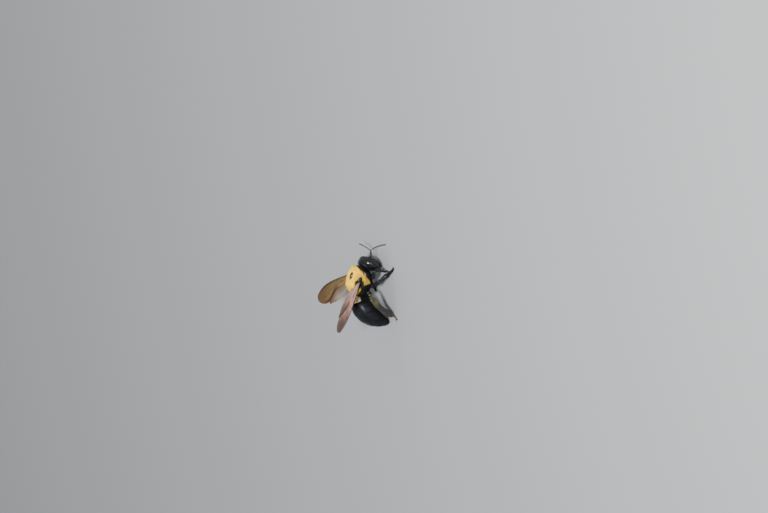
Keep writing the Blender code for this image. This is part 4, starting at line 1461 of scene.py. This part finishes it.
class BeeTailHair(bpy.types.Operator):
    """Grows the tail's tan tuft at the waist, its side fringe and its end brush"""

    bl_idname = "bee.tail_hair"
    bl_label = "Tail hair"

    def execute(self, context):
        rng = np.random.default_rng(7)

        def density(points, place):
            up = np.sin(place[:, 0] * 2 * np.pi)
            amount = 10 + 70 * ridge(up + 0.45, 0.28) + 60 * step(0.80, 0.93, place[:, 1])
            front = step(0.135, 0.085, place[:, 1])
            return (amount * (1 - front) + 300 * front) * (place[:, 2] < 0.5)

        seeds = sown([f"tail_plate_{k + 1}" for k in range(RINGS)], density, rng)
        place = seeds[3]
        up = np.sin(place[:, 0] * 2 * np.pi)
        front = place[:, 1] < 0.085 + 0.03 * up
        tan = front & (up > 0.35)
        lengths = 0.20 + 0.34 * ridge(up + 0.45, 0.3) + 0.35 * step(0.82, 0.96, place[:, 1])
        lengths = np.where(front, 0.75, lengths)
        clear = ["thorax"] + [f"leg_hind_{side}_{part}" for side in SIDES for part in ("femur", "tibia")]
        for name, finish, slot, mask, width, stand in (
            ("waist_gold", "waist_tan", "pile", tan, 0.045, 0.6),
            ("tail_fringe", "hair_black", "leg_hair", ~tan, 0.024, 0.34),
        ):
            grown(name, finish, slot, rng, seeds, mask, place[:, :2], lengths, width, stand, clear)
        return {"FINISHED"}


# For each part of a leg: hairs to the square millimetre, their length and how far they stand off.
LEG_COATS = {
    "fore": ((90, 0.34, 0.6), (60, 0.26, 0.6), (45, 0.24, 0.5), (150, 0.34, 0.5), (190, 0.26, 0.45),
             (150, 0.14, 0.4)),
    "mid": ((90, 0.34, 0.6), (60, 0.26, 0.6), (90, 0.26, 0.5), (230, 0.36, 0.5), (260, 0.36, 0.5),
            (320, 0.34, 0.6)),
    "hind": ((90, 0.36, 0.6), (60, 0.28, 0.6), (70, 0.30, 0.5), (330, 0.62, 0.55), (400, 0.74, 0.60),
             (150, 0.16, 0.4)),
}


class BeeLegHair(bpy.types.Operator):
    """Grows the legs' hair and the thick brushes of the hind pair"""

    bl_idname = "bee.leg_hair"
    bl_label = "Leg hair"

    def execute(self, context):
        rng = np.random.default_rng(11)
        coats = np.array([LEG_COATS[pair.split("_")[0]] for pair in PAIRS])

        def strip(place):
            return np.clip((place[:, 0] * STRIPS).astype(int), 0, STRIPS - 1)

        sets = []
        for pair, coat in zip(PAIRS, coats):
            names = [f"{name}_{pair}" for name in ("hip", "thigh", "shin", "long_joint", "toes")]
            sets.append(sown(names, lambda points, place: coat[strip(place), 0] * (place[:, 2] < 0.5), rng))
        seeds = [np.concatenate(rows) for rows in zip(*sets)]
        leg = np.repeat(np.arange(len(PAIRS)), [len(rows[0]) for rows in sets])
        place, part = seeds[3], strip(seeds[3])
        _, lengths, stand = coats[leg, part].T
        toe = part == 5
        brush = (leg >= PAIRS.index("hind_left")) & ((part == 3) | (part == 4))
        dust = np.where(part == 3, step(1.0, 0.55, place[:, 1]), 0.10)
        spots = np.stack([(leg + place[:, 0]) / len(PAIRS), place[:, 1]], 1)
        for name, finish, mask, width in (
            ("leg_hair", "hair_black", ~toe & ~brush, 0.024),
            ("brush", "brush_hair", brush, 0.030),
            ("toe_hair", "foot_hair", toe, 0.018),
        ):
            grown(name, finish, "leg_hair", rng, seeds, mask, spots, lengths, width, stand, dust=dust)
        return {"FINISHED"}


# ---------------- stage

# Soft round lamps: place from the trunk's middle in metres, size, and share of the key lamp's power.
LAMPS = {
    "lamp_key": ((-0.46, -0.14, 0.47), 0.13, 1.0),
    "lamp_overhead": ((0.15, 0.22, 0.58), 0.50, 0.10),
    "lamp_front": ((0.10, -0.60, 0.27), 0.16, 0.09),
    "lamp_side": ((-0.60, -0.20, 0.14), 0.30, 0.10),
}
SKY = (0.86, 0.93, 1.0, 1.0)
CAMERA_BACK = (-0.851, -0.284, 0.441)
CAMERA_UP = (0.211, -0.955, -0.207)
# How far the camera stands right of the trunk and above it, as shares of its distance.
CAMERA_SHIFT = (0.00548, 0.00579)


class BeeStageSet(bpy.types.Operator):
    """Sets the pale floor, the soft lamps and the camera"""

    bl_idname = "bee.stage"
    bl_label = "Floor, lamps and camera"

    def execute(self, context):
        stage = context.scene.bee_stage
        deselect()
        bpy.ops.mesh.primitive_plane_add(size=12.0, location=(0, 0, 0))
        floor = bpy.context.object
        floor.name = "floor"
        floor.data.materials.append(Recipe("floor_pale", Base_Color=stage.floor, Roughness=0.85).material)
        aim = trunk_frame().translation
        for name, (place, size, share) in LAMPS.items():
            light = bpy.data.lights.new(name, "AREA")
            light.shape = "DISK"
            light.size = size
            light.energy = stage.key * share
            lamp = new_object(name, light)
            lamp.location = aim + Vector(place)
            lamp.rotation_euler = (-Vector(place)).to_track_quat("-Z", "Y").to_euler()
        world = bpy.data.worlds.new("pale_surround")
        context.scene.world = world
        world.use_nodes = True
        sky = next(n for n in world.node_tree.nodes if n.type == "BACKGROUND")
        sky.inputs["Color"].default_value = SKY
        sky.inputs["Strength"].default_value = stage.fill
        self.camera(stage, aim)
        return {"FINISHED"}

    def camera(self, stage, aim):
        """Looks down at the bee's right side, with its head towards the top of the frame."""
        back = Vector(CAMERA_BACK).normalized()
        up = Vector(CAMERA_UP)
        up = (up - back * up.dot(back)).normalized()
        right = up.cross(back).normalized()
        lens = bpy.data.cameras.new("camera")
        lens.sensor_width = 36.0
        lens.lens = stage.lens
        lens.clip_start = 0.01
        place = Matrix((right, up, back)).transposed().to_4x4()
        place.translation = aim + (back + right * CAMERA_SHIFT[0] + up * CAMERA_SHIFT[1]) * stage.distance
        camera = new_object("camera", lens)
        camera.matrix_world = place
        bpy.context.scene.camera = camera


# ---------------- add-on

GROUPS = {
    "bee_stance": BeeStance,
    "bee_coat": BeeCoat,
    "bee_shell": BeeShell,
    "bee_wings": BeeWings,
    "bee_stage": BeeStage,
}
OPERATORS = (BeeTrunk, BeeHead, BeeEyes, BeeFeelers, BeeTail, BeeWingPairs, BeeLegs, BeePile, BeeFaceHair,
             BeeTailHair, BeeLegHair, BeeStageSet)


class BeePanel(bpy.types.Panel):
    """Lists the bee's settings and the steps that build it"""

    bl_idname = "VIEW3D_PT_bee"
    bl_label = "Carpenter Bee"
    bl_space_type = "VIEW_3D"
    bl_region_type = "UI"
    bl_category = "Bee"

    def draw(self, context):
        for name, group in GROUPS.items():
            box = self.layout.box()
            for key in group.__annotations__:
                box.prop(getattr(context.scene, name), key)
        for operator in OPERATORS:
            self.layout.operator(operator.bl_idname)


def register():
    for kind in (*GROUPS.values(), *OPERATORS, BeePanel):
        bpy.utils.register_class(kind)
    for name, group in GROUPS.items():
        setattr(bpy.types.Scene, name, PointerProperty(type=group))


def unregister():
    for name in GROUPS:
        delattr(bpy.types.Scene, name)
    for kind in (BeePanel, *OPERATORS, *GROUPS.values()):
        bpy.utils.unregister_class(kind)


def main():
    register()
    for operator in OPERATORS:
        getattr(bpy.ops.bee, operator.bl_idname.split(".")[1])()


if __name__ == "__main__":
    main()
